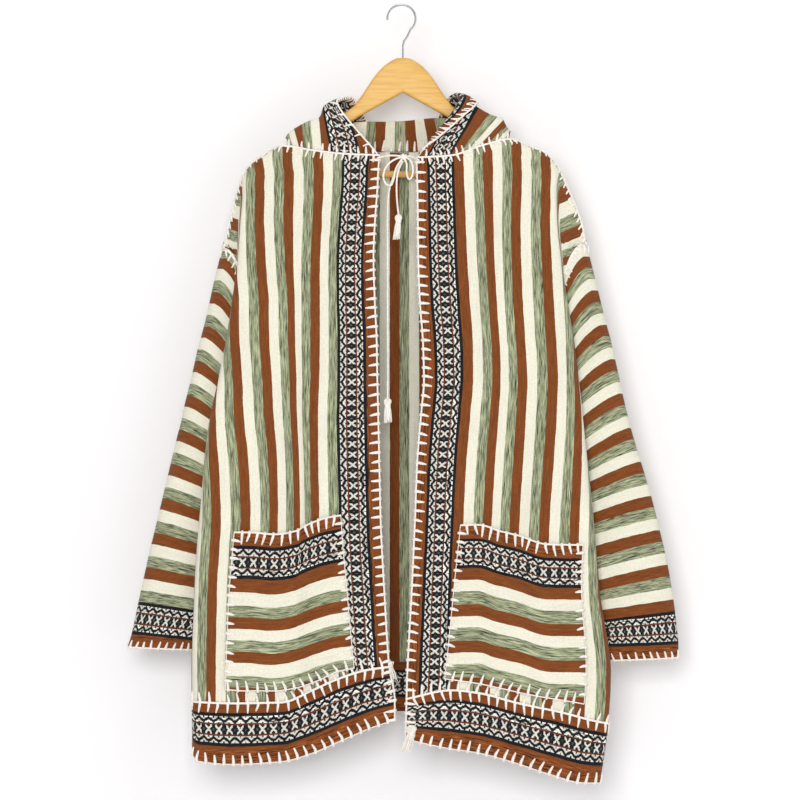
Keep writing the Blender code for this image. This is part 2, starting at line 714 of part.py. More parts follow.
def back_width_at(side):
    """Function that gives a back panel column's cloth distance at a height."""
    def at(column, z):
        return zone_width(column, back_fold_w(side, z), FRONT_WIDTH + BACK_CENTRE_SHIFT)
    return at


def front_seam_z(side, w):
    """Height of a front panel's hem seam."""
    return table_value(HEM_ROWS[side], "w", "seam_z", w)


def turned(lines):
    """Rows of a grid from its columns."""
    return [list(row) for row in zip(*lines)]


def front_grid(side):
    """Grid of a front panel, from its top edge to the hem seam."""
    columns = grid_columns(11, 5, 6)
    width_at = front_width_at(side)
    lines = [
        panel_rows(c, side, front_top, front_seam_z, front_point, width_at, -SEAM_HALF, LOWER_ROWS)
        for c in columns
    ]
    grid = turned(lines)
    inset_side(grid, -1)
    return grid


def inset_side(grid, column):
    """Draw a grid's side column back from the seam line by about half the seam's gap."""
    inner = column + 1 if column == 0 else column - 1
    for row in grid:
        towards = row[inner] - row[column]
        inset = SIDE_INSET if row[column].z > LOW_SEAM_Z else LOW_INSET
        if towards.length > 0:
            row[column] = row[column] + towards.normalized() * min(towards.length * 0.8, inset)


def away_from_axis(point):
    """Direction from the garment's upright middle line to a point."""
    return Vector((point.x * 0.2, point.y, 0))


def build_front(side, label, parts, finish):
    """One front panel."""
    return loft(f"front_panel_{label}", front_grid(side), parts, finish, outward=away_from_axis)


def back_grid():
    """Grid of the back panel, side to side."""
    columns = grid_columns(9, 5, 6)
    lines = []
    for side in (LEFT, RIGHT):
        width_at = back_width_at(side)
        half = [
            panel_rows(c, side, back_top, back_seam_z, back_point, width_at, SEAM_HALF, LOWER_ROWS)
            for c in columns
        ]
        lines = list(reversed(half)) if side == LEFT else lines[:-1] + half
    grid = turned(lines)
    inset_side(grid, 0)
    inset_side(grid, -1)
    return grid


def back_seam_z(side, w):
    """Height of the back's hem seam at cloth distance w from its middle."""
    ends = {s: table_value(HEM_ROWS[s], "w", "seam_z", FRONT_WIDTH) for s in (LEFT, RIGHT)}
    middle = (ends[LEFT] + ends[RIGHT]) / 2 + BACK_RISE
    return middle + (ends[side] - middle) * smooth_step(0, FRONT_WIDTH + BACK_CENTRE_SHIFT, w)


def back_bottom_z(side, w):
    """Height of the back hem strip's lower edge at cloth distance w from its middle."""
    ends = {s: table_value(HEM_ROWS[s], "w", "bottom_z", FRONT_WIDTH) for s in (LEFT, RIGHT)}
    middle = (ends[LEFT] + ends[RIGHT]) / 2 + BACK_RISE
    return middle + (ends[side] - middle) * smooth_step(0, FRONT_WIDTH + BACK_CENTRE_SHIFT, w)


def build_hem_front(side, label, parts, finish):
    """Hem strip below a front panel."""
    width_at = front_width_at(side)
    lines = []
    for column in grid_columns(11, 4, 3):
        w = width_at(column, STRIP_Z)
        seam = front_seam_z(side, w) - SEAM_HALF
        bottom = table_value(HEM_ROWS[side], "w", "bottom_z", w)
        lines.append([front_point(side, w, seam + (bottom - seam) * i / 3) for i in range(4)])
    grid = turned(lines)
    inset_side(grid, -1)
    return loft(f"hem_strip_{label}", grid, parts, finish, outward=away_from_axis)


def build_hem_back(parts, finish):
    """Hem strip below the back panel."""
    lines = []
    for side in (LEFT, RIGHT):
        width_at = back_width_at(side)
        half = []
        for column in grid_columns(9, 5, 6):
            w = width_at(column, STRIP_Z)
            seam = back_seam_z(side, w) - SEAM_HALF
            bottom = back_bottom_z(side, w)
            half.append([back_point(side, w, seam + (bottom - seam) * i / 3) for i in range(4)])
        lines = list(reversed(half)) if side == LEFT else lines[:-1] + half
    grid = turned(lines)
    inset_side(grid, 0)
    inset_side(grid, -1)
    return loft("hem_strip_back", grid, parts, finish, outward=away_from_axis)


def build_sleeve(side, label, parts, finish):
    """One sleeve, a tube open at the armhole and the cuff."""
    rings = 17
    around = 20
    grid = []
    for ring in range(rings):
        along = ring / (rings - 1)
        grid.append([sleeve_point(side, along, math.tau * i / around) for i in range(around)])
    for i, point in enumerate(grid[0]):
        outward_gap = ARMHOLE_GAP + UNDERARM_GAP * (1 - math.cos(math.tau * i / around)) / 2
        grid[0][i] = point + Vector((side * outward_gap, 0, -ARMHOLE_GAP))

    def outward(point):
        best = min(grid, key=lambda ring: (ring[0] - point).length)
        middle = sum(best, Vector()) / around
        return point - middle

    return loft(f"sleeve_{label}", grid, parts, finish, closed=True, outward=outward)


def build_pocket(side, label, parts, finish):
    """Patch pocket made from the front panel's points, moved out."""
    rows = POCKET_ROWS[side]
    sides = POCKET_SIDES[side]
    across = 8
    down = 7
    lift = CLOTH + POCKET_GAP
    grid = []
    for index in range(down + 1):
        row = []
        inner = sides.inner_top + (sides.inner_bottom - sides.inner_top) * index / down
        outer = sides.outer_top + (sides.outer_bottom - sides.outer_top) * index / down
        for i in range(across + 1):
            w = inner + (outer - inner) * (i / across) ** 0.85
            top = table_value(rows, "w", "top_z", w)
            bottom = table_value(rows, "w", "bottom_z", w)
            z = top + (bottom - top) * index / down
            point = front_point(side, w, z)
            across_step = front_point(side, w + 2, z) - front_point(side, w - 2, z)
            down_step = front_point(side, w, z - 2) - front_point(side, w, z + 2)
            normal = across_step.cross(down_step).normalized()
            if normal.y > 0:
                normal.negate()
            row.append(point + normal * lift)
        grid.append(row)
    return loft(f"pocket_{label}", grid, parts, finish, outward=away_from_axis)


def build_hood(parts, finish):
    """The hood: one cloth round from face edge to face edge, closed along its crown seam."""
    faces = (0, 11, 22, 35, 48, 61, 75, 92, 108, 122, 134, 148, 164, 184, 208, 235, 258, 280)
    steps = 13
    builder = bmesh.new()
    for side in (LEFT, RIGHT):
        lines = [[hood_point(side, face, step / steps) for step in range(steps + 1)] for face in faces]
        rows = [[builder.verts.new(point * MM) for point in line] for line in lines]
        for near, far in zip(rows, rows[1:]):
            for step in range(steps):
                corners = (near[step], near[step + 1], far[step + 1], far[step])
                builder.faces.new(corners if side == RIGHT else tuple(reversed(corners)))
    bmesh.ops.remove_doubles(builder, verts=builder.verts, dist=WELD)
    builder.normal_update()
    lowest = min(builder.faces, key=lambda face: face.calc_center_median().z)
    if lowest.normal.z > 0:
        bmesh.ops.reverse_faces(builder, faces=builder.faces[:])
    return cloth_wall("hood", builder, parts, finish)


def hanger_outline():
    """Outline of one arm of the hanger, from the middle's top to its underside."""
    return [
        (0, -68), (9, -69), (17, -73), (25, -79), (32, -86), (40, -96), (47, -107), (55, -119),
        (64, -131), (76, -140), (110, -163), (143, -187), (154, -188.8), (166, -192.3), (177, -198.8),
        (184, -203.8), (188, -209.5), (189, -217), (187, -225), (183, -229.5), (BAR_HALF, -229.5),
        (BAR_HALF, -214), (110, -180), (57, -145), (0, -113.4),
    ]


def build_hanger_arms(parts, finish):
    """Both arms of the hanger as one flat board."""
    half = hanger_outline()
    outline = [(x, z) for x, z in half] + [(-x, z) for x, z in reversed(half[1:-1])]
    curve = bpy.data.curves.new("hanger outline", "CURVE")
    curve.dimensions = "2D"
    curve.fill_mode = "BOTH"
    curve.extrude = ARM_THICK / 2 * MM
    line = curve.splines.new("POLY")
    line.points.add(len(outline) - 1)
    line.use_cyclic_u = True
    for point, (x, z) in zip(line.points, outline):
        point.co = ((x + HANGER_MIDDLE) * MM, z * MM, 0, 1)
    flat = bpy.data.objects.new("hanger outline", curve)
    parts.objects.link(flat)
    flat.rotation_euler.x = math.pi / 2
    return curve_to_mesh(flat, "hanger_arms", parts, finish)


def curve_to_mesh(source, name, parts, finish):
    """Mesh of a curve object with its caps welded, in world coordinates."""
    bpy.context.view_layer.update()
    evaluated = source.evaluated_get(bpy.context.evaluated_depsgraph_get())
    mesh = bpy.data.meshes.new_from_object(evaluated)
    mesh.transform(source.matrix_world)
    builder = bmesh.new()
    builder.from_mesh(mesh)
    bmesh.ops.remove_doubles(builder, verts=builder.verts, dist=0.00001)
    bmesh.ops.recalc_face_normals(builder, faces=builder.faces)
    builder.to_mesh(mesh)
    builder.free()
    mesh.name = name
    mesh.materials.clear()
    bpy.data.objects.remove(source)
    return add_object(name, mesh, parts, finish)


def route(name, points, diameter, parts, finish, resolution=2):
    """Round cord or wire through points in millimetres, as a mesh."""
    curve = bpy.data.curves.new(name, "CURVE")
    curve.dimensions = "3D"
    curve.bevel_depth = diameter / 2 * MM
    curve.bevel_resolution = resolution
    curve.use_fill_caps = True
    line = curve.splines.new("POLY")
    line.points.add(len(points) - 1)
    for point, place in zip(line.points, points):
        point.co = (*(place * MM), 1)
    made = bpy.data.objects.new(name, curve)
    parts.objects.link(made)
    return curve_to_mesh(made, name, parts, finish)


def build_hook(parts, finish):
    """Wire hook: an arc open at the left, a bend back to the middle and an upright shank."""
    radius = HOOK_RADIUS
    centre = Vector((HANGER_MIDDLE - 2.0, 0, WIRE_DIAMETER / 2 - radius))
    arc = []
    for step in range(25):
        angle = math.radians(185 - 235 * step / 24)
        arc.append(centre + Vector((radius * math.cos(angle), 0, radius * math.sin(angle))))
    bend = [Vector((6.5, 0, -41.0)), Vector((2.8, 0, -46.0)), Vector((HANGER_MIDDLE, 0, -52.0))]
    shank = [Vector((HANGER_MIDDLE, 0, -60.0)), Vector((HANGER_MIDDLE, 0, SHANK_BOTTOM + 0.9))]
    return route("hanger_hook", arc + bend + shank, WIRE_DIAMETER, parts, finish, 3)


def build_bar(parts, finish):
    """Round bar between the ends of the hanger's arms."""
    half = (BAR_HALF - SEAM_GAP) * MM
    bpy.ops.mesh.primitive_cylinder_add(
        vertices=20,
        radius=BAR_DIAMETER / 2 * MM,
        depth=2 * half,
        location=(HANGER_MIDDLE * MM, 0, BAR_HEIGHT * MM),
        rotation=(0, math.pi / 2, 0),
    )
    made = bpy.context.object
    made.name = "hanger_bar"
    made.data.name = "hanger_bar"
    made.data.materials.append(finish)
    for owner in list(made.users_collection):
        owner.objects.unlink(made)
    parts.objects.link(made)
    return made


def smooth_route(points, spacing):
    """Evenly spaced points along the smooth curve through a route's own points."""
    places = [Vector(point) for point in points]
    lengths = [0.0]
    for before, after in zip(places, places[1:]):
        lengths.append(lengths[-1] + (after - before).length)
    count = max(2, round(lengths[-1] / spacing))
    result = []
    for step in range(count + 1):
        target = lengths[-1] * step / count
        result.append(Vector([catmull(lengths, [p[a] for p in places], target) for a in range(3)]))
    return result


def catmull(keys, values, x):
    """Value at x of the round curve through the values, which may swing past them a little."""
    index = max(0, min(len(keys) - 2, max(i for i in range(len(keys)) if keys[i] <= x)))
    before, after = max(0, index - 1), min(len(keys) - 1, index + 2)
    span = keys[index + 1] - keys[index]
    low, high = values[index], values[index + 1]
    start = (high - values[before]) / max(keys[index + 1] - keys[before], 1e-9)
    stop = (values[after] - low) / max(keys[after] - keys[index], 1e-9)
    t = (x - keys[index]) / span
    bend = (2 * t**3 - 3 * t**2 + 1) * low + (3 * t**2 - 2 * t**3) * high
    return bend + (t**3 - 2 * t**2 + t) * span * start + (t**3 - t**2) * span * stop


# The bow at the neck and the two hanging ends of the ties
KNOT = (2.5, -44.0, -200.0)
KNOT_RADIUS = 4.2
LOOP_LEFT = [
    (-1, -44, -201), (-8, -46, -203), (-18, -47, -210), (-24, -47, -222), (-22, -47, -234),
    (-15, -47, -238), (-11, -47, -230), (-8, -47, -216), (0, -45, -203),
]
LOOP_RIGHT = [
    (3, -44, -201), (10, -48, -204), (14, -50, -214), (13, -50, -226), (9, -50, -230),
    (6, -50, -222), (6, -49, -210), (3, -45, -202),
]
TIE_LEFT = [(-32, -31.5, -201), (-26, -34.5, -199.5), (-18, -39.5, -198.5), (-8, -43, -198.5), (1, -44, -200)]
TIE_RIGHT = [(22, -31.5, -204), (18, -35.5, -202), (13, -40.5, -200), (8, -43, -199.5), (3, -44, -200)]
CORD_LONG = [
    (-0.6, -42.2, -205.5), (-4.8, -40.2, -213.5), (-12, -39.6, -228), (-17, -41.5, -246),
    (-18.5, -43.5, -270), (-18.5, -44, -330), (-18.5, -44, -400), (-18.2, -44, -470),
    (-18.5, -44, -513),
]
CORD_SHORT = [
    (1, -45, -206.0), (-3, -49, -214), (-6.5, -51, -228), (-7, -52, -246), (-6, -52.5, -262),
    (-4.5, -53, -275),
]
TASSEL_LONG_TOP = (-18.5, -44, -513.4)
TASSEL_SHORT_TOP = (-4.5, -53, -275.4)
TASSEL_CORNER_TOP = (12.0, -58.2, -936.0)


def build_bow(parts, finish):
    """Knot, two loops and the short runs to the neck corners, joined as one solid."""
    bpy.ops.mesh.primitive_uv_sphere_add(segments=16, ring_count=10, radius=KNOT_RADIUS * MM,
                                         location=Vector(KNOT) * MM)
    knot = bpy.context.object
    knot.scale = (1.15, 0.9, 1.0)
    bpy.ops.object.transform_apply(location=False, rotation=False, scale=True)
    knot.name = "tie_bow"
    knot.data.name = "tie_bow"
    knot.data.materials.append(finish)
    for owner in list(knot.users_collection):
        owner.objects.unlink(knot)
    parts.objects.link(knot)
    runs = (LOOP_LEFT, LOOP_RIGHT, TIE_LEFT, TIE_RIGHT)
    for index, points in enumerate(runs):
        tube = route(f"bow run {index}", smooth_route(points, BOW_SPACING), TIE_DIAMETER, parts, finish)
        join = knot.modifiers.new("join", "BOOLEAN")
        join.operation = "UNION"
        join.solver = "EXACT"
        join.object = tube
        bpy.context.view_layer.update()
        evaluated = knot.evaluated_get(bpy.context.evaluated_depsgraph_get())
        mesh = bpy.data.meshes.new_from_object(evaluated)
        knot.modifiers.remove(join)
        knot.data = mesh
        bpy.data.objects.remove(tube)
    return knot


def build_tassel(name, top, strands, length, radius, lean, parts, finish):
    """Tassel: a bound head whose underside is drawn down into separate strands."""
    builder = bmesh.new()
    around = 12
    profile = [(0.35, 0.0), (0.9, -0.12), (1.0, -0.4), (0.72, -0.62), (0.95, -0.85), (1.0, -1.0)]
    head = radius * HEAD_SHARE
    rings = []
    for scale, drop in profile:
        ring = []
        for i in range(around):
            angle = math.tau * i / around
            x, y = math.cos(angle) * radius * scale, math.sin(angle) * radius * scale * HEAD_FLATNESS
            place = Vector((x, y, drop * head))
            ring.append(builder.verts.new(place))
        rings.append(ring)
    for upper, lower in zip(rings, rings[1:]):
        for i in range(around):
            j = (i + 1) % around
            builder.faces.new((upper[i], upper[j], lower[j], lower[i]))
    builder.faces.new(reversed(rings[0]))
    inner = []
    for i in range(around):
        angle = math.tau * i / around
        place = Vector((math.cos(angle) * radius * 0.55, math.sin(angle) * radius * 0.44, -head))
        inner.append(builder.verts.new(place))
    middle = builder.verts.new((0, 0, -head))
    cells = []
    for i in range(around):
        j = (i + 1) % around
        cells.append(builder.faces.new((rings[-1][i], rings[-1][j], inner[j], inner[i])))
    for i in range(0, around, 2):
        j = (i + 1) % around
        k = (i + 2) % around
        cells.append(builder.faces.new((inner[i], inner[j], inner[k], middle)))
    bmesh.ops.recalc_face_normals(builder, faces=builder.faces)
    bmesh.ops.inset_individual(builder, faces=cells, thickness=radius * 0.05)
    for index, cell in enumerate(cells[:strands]):
        spread = 1.0 + 0.22 * math.sin(index * 2.4)
        part = length * (0.86 + 0.14 * math.cos(index * 1.7))
        face = cell
        for level in range(3):
            grown = bmesh.ops.extrude_discrete_faces(builder, faces=[face])["faces"][0]
            centre = grown.calc_center_median()
            out = FLARE * spread
            move = Vector((centre.x * out + lean[0] / 3, centre.y * out + lean[1] / 3, -part / 3))
            for vert in grown.verts:
                vert.co = centre + (vert.co - centre) * STRAND_TAPER + move
            face = grown
    for vert in builder.verts:
        vert.co = (vert.co + Vector(top)) * MM
    mesh = bpy.data.meshes.new(name)
    builder.to_mesh(mesh)
    builder.free()
    return add_object(name, mesh, parts, finish)


def build():
    """Build every piece of the garment and its hanger."""
    for old in list(bpy.data.objects):
        bpy.data.objects.remove(old)
    parts = bpy.data.collections.new("poncho_jacket_on_hanger")
    bpy.context.scene.collection.children.link(parts)
    stripe = material("striped_wool", (0.52, 0.45, 0.36), 0.95)
    band = material("patterned_wool", (0.16, 0.12, 0.10), 0.95)
    yarn = material("white_yarn", (0.86, 0.84, 0.80), 0.9)
    wood = material("pale_wood", (0.86, 0.58, 0.25), 0.45)
    steel = material("chrome_wire", (0.75, 0.75, 0.76), 0.2, 1.0)
    loft("back_panel", back_grid(), parts, stripe, outward=away_from_axis)
    for side, label in ((LEFT, "left"), (RIGHT, "right")):
        build_front(side, label, parts, stripe)
        build_sleeve(side, label, parts, stripe)
        build_hem_front(side, label, parts, band)
        build_pocket(side, label, parts, stripe)
    build_hood(parts, stripe)
    build_hem_back(parts, band)
    build_bow(parts, yarn)
    route("tie_end_long", smooth_route(CORD_LONG, LONG_SPACING), CORD_DIAMETER, parts, yarn)
    route("tie_end_short", smooth_route(CORD_SHORT, SHORT_SPACING), CORD_DIAMETER, parts, yarn)
    build_tassel("tassel_long", TASSEL_LONG_TOP, 12, 22.0, 5.2, (0, 0), parts, yarn)
    build_tassel("tassel_short", TASSEL_SHORT_TOP, 12, 24.0, 4.6, (-3.0, 0), parts, yarn)
    build_tassel("tassel_corner", TASSEL_CORNER_TOP, 12, 22.0, 5.0, (-5.0, -3.5), parts, yarn)
    build_hanger_arms(parts, wood)
    build_bar(parts, wood)
    build_hook(parts, steel)


build()
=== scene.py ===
"""Hooded striped poncho jacket on a wooden hanger, in front of a pale plaster wall.

Tables and the form's methods are in millimetres, with x measured outward from the middle plane.
Meshes are made in metres. The garment's front faces -Y, and LEFT is the photo's left.
"""

import logging
import math
from bisect import bisect_right
from collections.abc import Callable, Sequence
from dataclasses import dataclass, field
from enum import Enum
from functools import partial

import bmesh
import bpy
import numpy as np
from mathutils import Matrix, Vector


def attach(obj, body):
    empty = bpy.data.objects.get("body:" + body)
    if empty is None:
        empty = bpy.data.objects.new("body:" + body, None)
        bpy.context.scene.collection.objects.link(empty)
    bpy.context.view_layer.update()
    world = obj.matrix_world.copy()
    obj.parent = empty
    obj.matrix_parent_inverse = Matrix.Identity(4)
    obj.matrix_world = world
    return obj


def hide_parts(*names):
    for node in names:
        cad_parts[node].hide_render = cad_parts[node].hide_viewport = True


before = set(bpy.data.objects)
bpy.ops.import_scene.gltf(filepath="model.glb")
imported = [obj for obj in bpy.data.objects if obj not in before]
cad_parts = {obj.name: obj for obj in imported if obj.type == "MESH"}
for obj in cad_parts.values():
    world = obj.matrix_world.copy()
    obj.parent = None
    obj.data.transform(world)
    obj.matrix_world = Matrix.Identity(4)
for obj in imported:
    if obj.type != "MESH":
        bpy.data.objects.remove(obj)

LOG = logging.getLogger("poncho_jacket")
MM = 0.001

# Cut of the cloth
CLOTH = 2.0
FRONT_WIDTH = 262.0
PLACKET_WIDTH = 48.0
NECK_END = 126.0
SHOULDER_START = 141.0
BACK_SHIFT = 29.0
BACK_NECK_Z = -190.0
BACK_RISE = 60.0
BACK_EDGE = 10
BACK_NECK_DEPTH = 22
SEAM_HALF = 0.15

# How it hangs
SHOULDER_FLAT = 4.0
SHOULDER_ROLL = 8.0
ROLL_DEPTH = 6.0
DRAPE_LENGTH = 75.0
FOLD_REACH = 13.0
FOLD_START_Z = -330.0
BACK_FOLD_REACH = 14.0
POCKET_CORNER = 6.0
SIDE_INSET = 1.0
STRETCH = 1.25
FRONT_WAVE = 5.0
FRONT_WAVE_LENGTH = 26.0
FRONT_WAVE_START = 0.6
BACK_WAVE = 4.0
BACK_WAVE_LENGTH = 30.0
RING_TOP = 0.021
SHOULDER_OPENING = 60.0
ARMHOLE_GAP = 1.2
NECK_ROUND = 118.0
NECK_TURN = 24.0
HOOD_LIFT = 1.0
CROWN_REACH = 14.0
BEND_SHARE = 0.293
LEAST_RADIUS = 1.5
CORNER_STEP = 0.3 * POCKET_CORNER
WAVES_FROM, WAVES_FULL = 330, 700

# Pattern coordinate, across a cloth: edge strip, band, then stripes
STRIP = 13.0
BAND_END = 48.0
STRIPE = 12.6
PERIOD = 3 * STRIPE
REPEAT = 13.4
ALONG_START = 150

# Where the extra cloth round the sides starts to count in the pattern
SIDE_FROM_Z = -430
SIDE_FADE = 60

# From the hood's face edge to its crown seam
HOOD_HALF = 280.0

# Nearly all of an edge, as parts of it, and the way that the front faces
LONG = (0.01, 0.99)
FORWARD = (0.0, -1.0, 0.0)

Point = tuple[float, float, float]
Path = list[tuple[float, float, float | None]]
Layer = Callable[[float, float], float]
Socket = bpy.types.NodeSocket


class Side(Enum):
    """The garment's halves, as the photo shows them."""

    LEFT = -1
    RIGHT = 1

    def named(self, name: str) -> str:
        """Name of this half's piece or node."""
        return f"{name}_{self.name.lower()}"


class Edge(Enum):
    """Edges of a cloth, named by its rows and columns."""

    TOP = "top"
    BOTTOM = "bottom"
    START = "start"
    END = "end"


class Order(Enum):
    """Orders in which the three stripes follow the band."""

    GREEN_WHITE_RUST = ("green", "white", "rust")
    RUST_WHITE_GREEN = ("rust", "white", "green")
    RUST_GREEN_WHITE = ("rust", "green", "white")


@dataclass
class SmoothCurve:
    """Curve through a table's points that never overshoots them and holds its ends."""

    xs: list[float]
    ys: list[float]
    slopes: list[float] = field(init=False)

    def __post_init__(self) -> None:
        """Work out the slope at each point."""
        pairs = list(zip(self.xs, self.ys))
        steps = [(b[1] - a[1]) / (b[0] - a[0]) for a, b in zip(pairs, pairs[1:])]
        middle = [0.0 if a * b <= 0 else 2 * a * b / (a + b) for a, b in zip(steps, steps[1:])]
        self.slopes = [steps[0], *middle, steps[-1]]

    def at(self, x: float) -> float:
        """Value of the curve at x."""
        xs, ys = self.xs, self.ys
        if x <= xs[0]:
            return ys[0]
        if x >= xs[-1]:
            return ys[-1]
        i = bisect_right(xs, x) - 1
        span = xs[i + 1] - xs[i]
        t = (x - xs[i]) / span
        rise = t * t * (3 - 2 * t)
        bend = t * (1 - t) * span * ((1 - t) * self.slopes[i] - t * self.slopes[i + 1])
        return ys[i] + (ys[i + 1] - ys[i]) * rise + bend


@dataclass
class Table:
    """Named columns of sizes in millimetres, read along smooth curves."""

    names: str
    rows: list[tuple[float, ...]]
    curves: dict[tuple[str, str], SmoothCurve] = field(default_factory=dict)

    def column(self, name: str) -> list[float]:
        """One column's values in row order."""
        place = self.names.split().index(name)
        return [row[place] for row in self.rows]

    def read(self, name: str, x: float, key: str = "") -> float:
        """Read one column along a smooth curve.

        Args:
            name: The column to read.
            x: Where to read it, in the key column.
            key: The key column, or the first one when it is empty.

        Returns:
            The column's value there.
        """
        curve = self.curves.get((name, key))
        if curve is None:
            pairs = sorted(zip(self.column(key or self.names.split()[0]), self.column(name)))
            curve = SmoothCurve([a for a, _ in pairs], [b for _, b in pairs])
            self.curves[name, key] = curve
        return curve.at(x)


# Height rows of a front panel: opening edge, side fold, the hollow behind that fold where the
# sleeve lies, and the cloth that a soft tuck hides
FRONT_NAMES = "z open_x fold_w fold_x pocket_x tuck"
FRONT_TABLES = {
    Side.LEFT: Table(FRONT_NAMES, [
        (-185, 28.0, 138, 166, 160, 0), (-219, 31.0, 180, 206, 200, 0),
        (-242, 32.0, 178, 206, 198, 0), (-281, 35.0, 178, 210, 193, 0),
        (-330, 37.0, 180, 213, 189, 1), (-385, 35.5, 188, 220, 186, 2),
        (-437, 33.0, 198, 229, 188.5, 4), (-462, 32.5, 205, 234, 186, 6),
        (-490, 32.0, 212, 239, 188, 8), (-531, 31.0, 221, 247, 202, 12),
        (-600, 29.5, 236, 256, 219, 15), (-680, 27.5, 246, 264, 232, 14),
        (-765, 23.0, 248, 270, 241, 9), (-859, 17.0, 250, 273, 246, 4),
        (-905, 9.5, 250, 273, 247, 3), (-990, 9.5, 250, 272, 247, 2),
    ]),
    Side.RIGHT: Table(FRONT_NAMES, [
        (-172, 18.0, 124, 141, 136, 0), (-211, 19.0, 184, 203, 197, 0),
        (-242, 20.0, 184, 201, 192, 1), (-281, 20.5, 186, 202, 189, 4),
        (-330, 21.0, 190, 207, 187, 6), (-385, 23.0, 196, 215, 186, 8),
        (-437, 27.0, 203, 224, 189.5, 8), (-462, 28.0, 205, 227, 187, 7),
        (-490, 28.5, 208, 230, 188, 6), (-531, 25.0, 214, 234, 200, 5),
        (-600, 19.5, 226, 241, 215, 4), (-680, 16.5, 238, 248, 226, 4),
        (-765, 12.5, 247, 257, 236, 4), (-869, 7.0, 251, 271, 245, 4),
        (-937, 5.0, 251, 268, 248, 3), (-1016, 1.5, 251, 256, 240, 2),
    ]),
}

# Top edge of a front panel along the cloth: neck seam, then shoulder seam
TOP_NAMES = "w x z depth"
TOP_TABLES = {
    Side.LEFT: Table(TOP_NAMES, [
        (0, 28, -197, 30), (45, 73, -195, 26), (88, 115, -190, 20), (126, 154, -184, 12),
        (141, 169, -188, 10), (154, 182, -197, 10), (168, 196, -207, 10), (180, 206, -219, 10),
        (194, 213, -239, 10), (207, 218, -256, 10), (224, 224, -281, 10), (240, 229, -301, 10),
        (262, 235, -319, 10),
    ]),
    Side.RIGHT: Table(TOP_NAMES, [
        (0, 18, -200, 30), (45, 63, -197, 26), (88, 103, -183, 20), (126, 142, -175, 12),
        (141, 156, -180, 10), (154, 170, -186, 10), (168, 185, -192, 10), (184, 203, -211, 10),
        (196, 211, -228, 10), (208, 219, -246, 10), (224, 228, -268, 10), (240, 235, -288, 10),
        (262, 241, -313, 10),
    ]),
}

# Depth of the front and back layers, and of the hollow beside the sleeve, by height
DEPTHS = Table("z front back pocket", [
    (-185, 24, 22, 9), (-219, 26, 24, 9), (-260, 29, 28, 13), (-319, 33, 32, 19),
    (-437, 41, 38, 24), (-600, 47, 43, 25), (-900, 50, 47, 26), (-1020, 51, 48, 26),
])

# Seam above the hem strip and the strip's lower edge, along the cloth
HEM_NAMES = "w seam_z bottom_z"
HEM_TABLES = {
    Side.LEFT: Table(HEM_NAMES, [
        (0, -861, -930), (28, -865, -940), (60, -875, -955), (98, -892, -973),
        (135, -907, -984), (185, -908, -987), (232, -906, -983), (262, -904, -960),
    ]),
    Side.RIGHT: Table(HEM_NAMES, [
        (0, -902, -954), (50, -891, -966), (90, -896, -973), (135, -908, -985),
        (180, -918, -1000), (222, -930, -1011), (262, -938, -1012),
    ]),
}

# Sleeve rings from the armhole to the cuff: outer and inner point, half depth, and how much of
# the ring's fall lies on its inner side
SLEEVE_NAMES = "ring outer_x outer_z inner_x inner_z half_depth hang"
SLEEVE_TABLES = {
    Side.LEFT: Table(SLEEVE_NAMES, [
        (0, 235, -319, 189, -437, 17, 2.2), (1, 246, -362, 191, -462, 18, 2.0),
        (2, 257, -411, 197, -494, 18, 1.8), (3, 274, -476, 209, -535, 18, 1.6),
        (4, 296, -565, 226, -603, 18, 1.4), (5, 318, -656, 238, -682, 18, 1.3),
        (6, 338, -751, 247, -767, 18, 1.2), (7, 354, -822, 252, -831, 18, 1.1),
        (8, 359, -838, 253, -842, 18, 1.0),
    ]),
    Side.RIGHT: Table(SLEEVE_NAMES, [
        (0, 241, -313, 190, -437, 17, 2.2), (1, 254, -362, 192, -462, 18, 2.0),
        (2, 266, -411, 197, -494, 18, 1.8), (3, 283, -476, 207, -535, 18, 1.6),
        (4, 304, -560, 222, -603, 18, 1.4), (5, 330, -655, 233, -682, 18, 1.3),
        (6, 350, -745, 243, -767, 18, 1.2), (7, 362, -835, 251, -838, 18, 1.1),
        (8, 361, -852, 252, -856, 18, 1.0),
    ]),
}

# Edges of the patch pockets along the front's cloth
POCKET_NAMES = "w top_z bottom_z"
POCKET_TABLES = {
    Side.LEFT: Table(POCKET_NAMES, [
        (42, -664, -862), (60, -667, -866), (86, -675, -878), (115, -685, -888),
        (145, -689.5, -892), (174, -687, -892), (200, -686.5, -890),
    ]),
    Side.RIGHT: Table(POCKET_NAMES, [
        (43, -678, -876), (80, -677, -882), (110, -685, -888), (140, -692, -895),
        (172, -702, -901), (222, -703, -911),
    ]),
}

# A pocket's side edges at its top and bottom, and where its stripes start below its top edge
POCKET_SIDES = {Side.LEFT: ((47, 42), (193, 199)), Side.RIGHT: ((57, 43), (218, 211))}
POCKET_LEVELS = {
    Side.LEFT: (0, 16.8, 59.2, 76.7, 94.4, 108.9, 124.2, 138.7, 153.5, 168.1, 185.1, 199.8, 216),
    Side.RIGHT: (0, 17, 55, 70.5, 85, 102, 117.5, 132, 149, 164.5, 179, 196.5, 215),
}

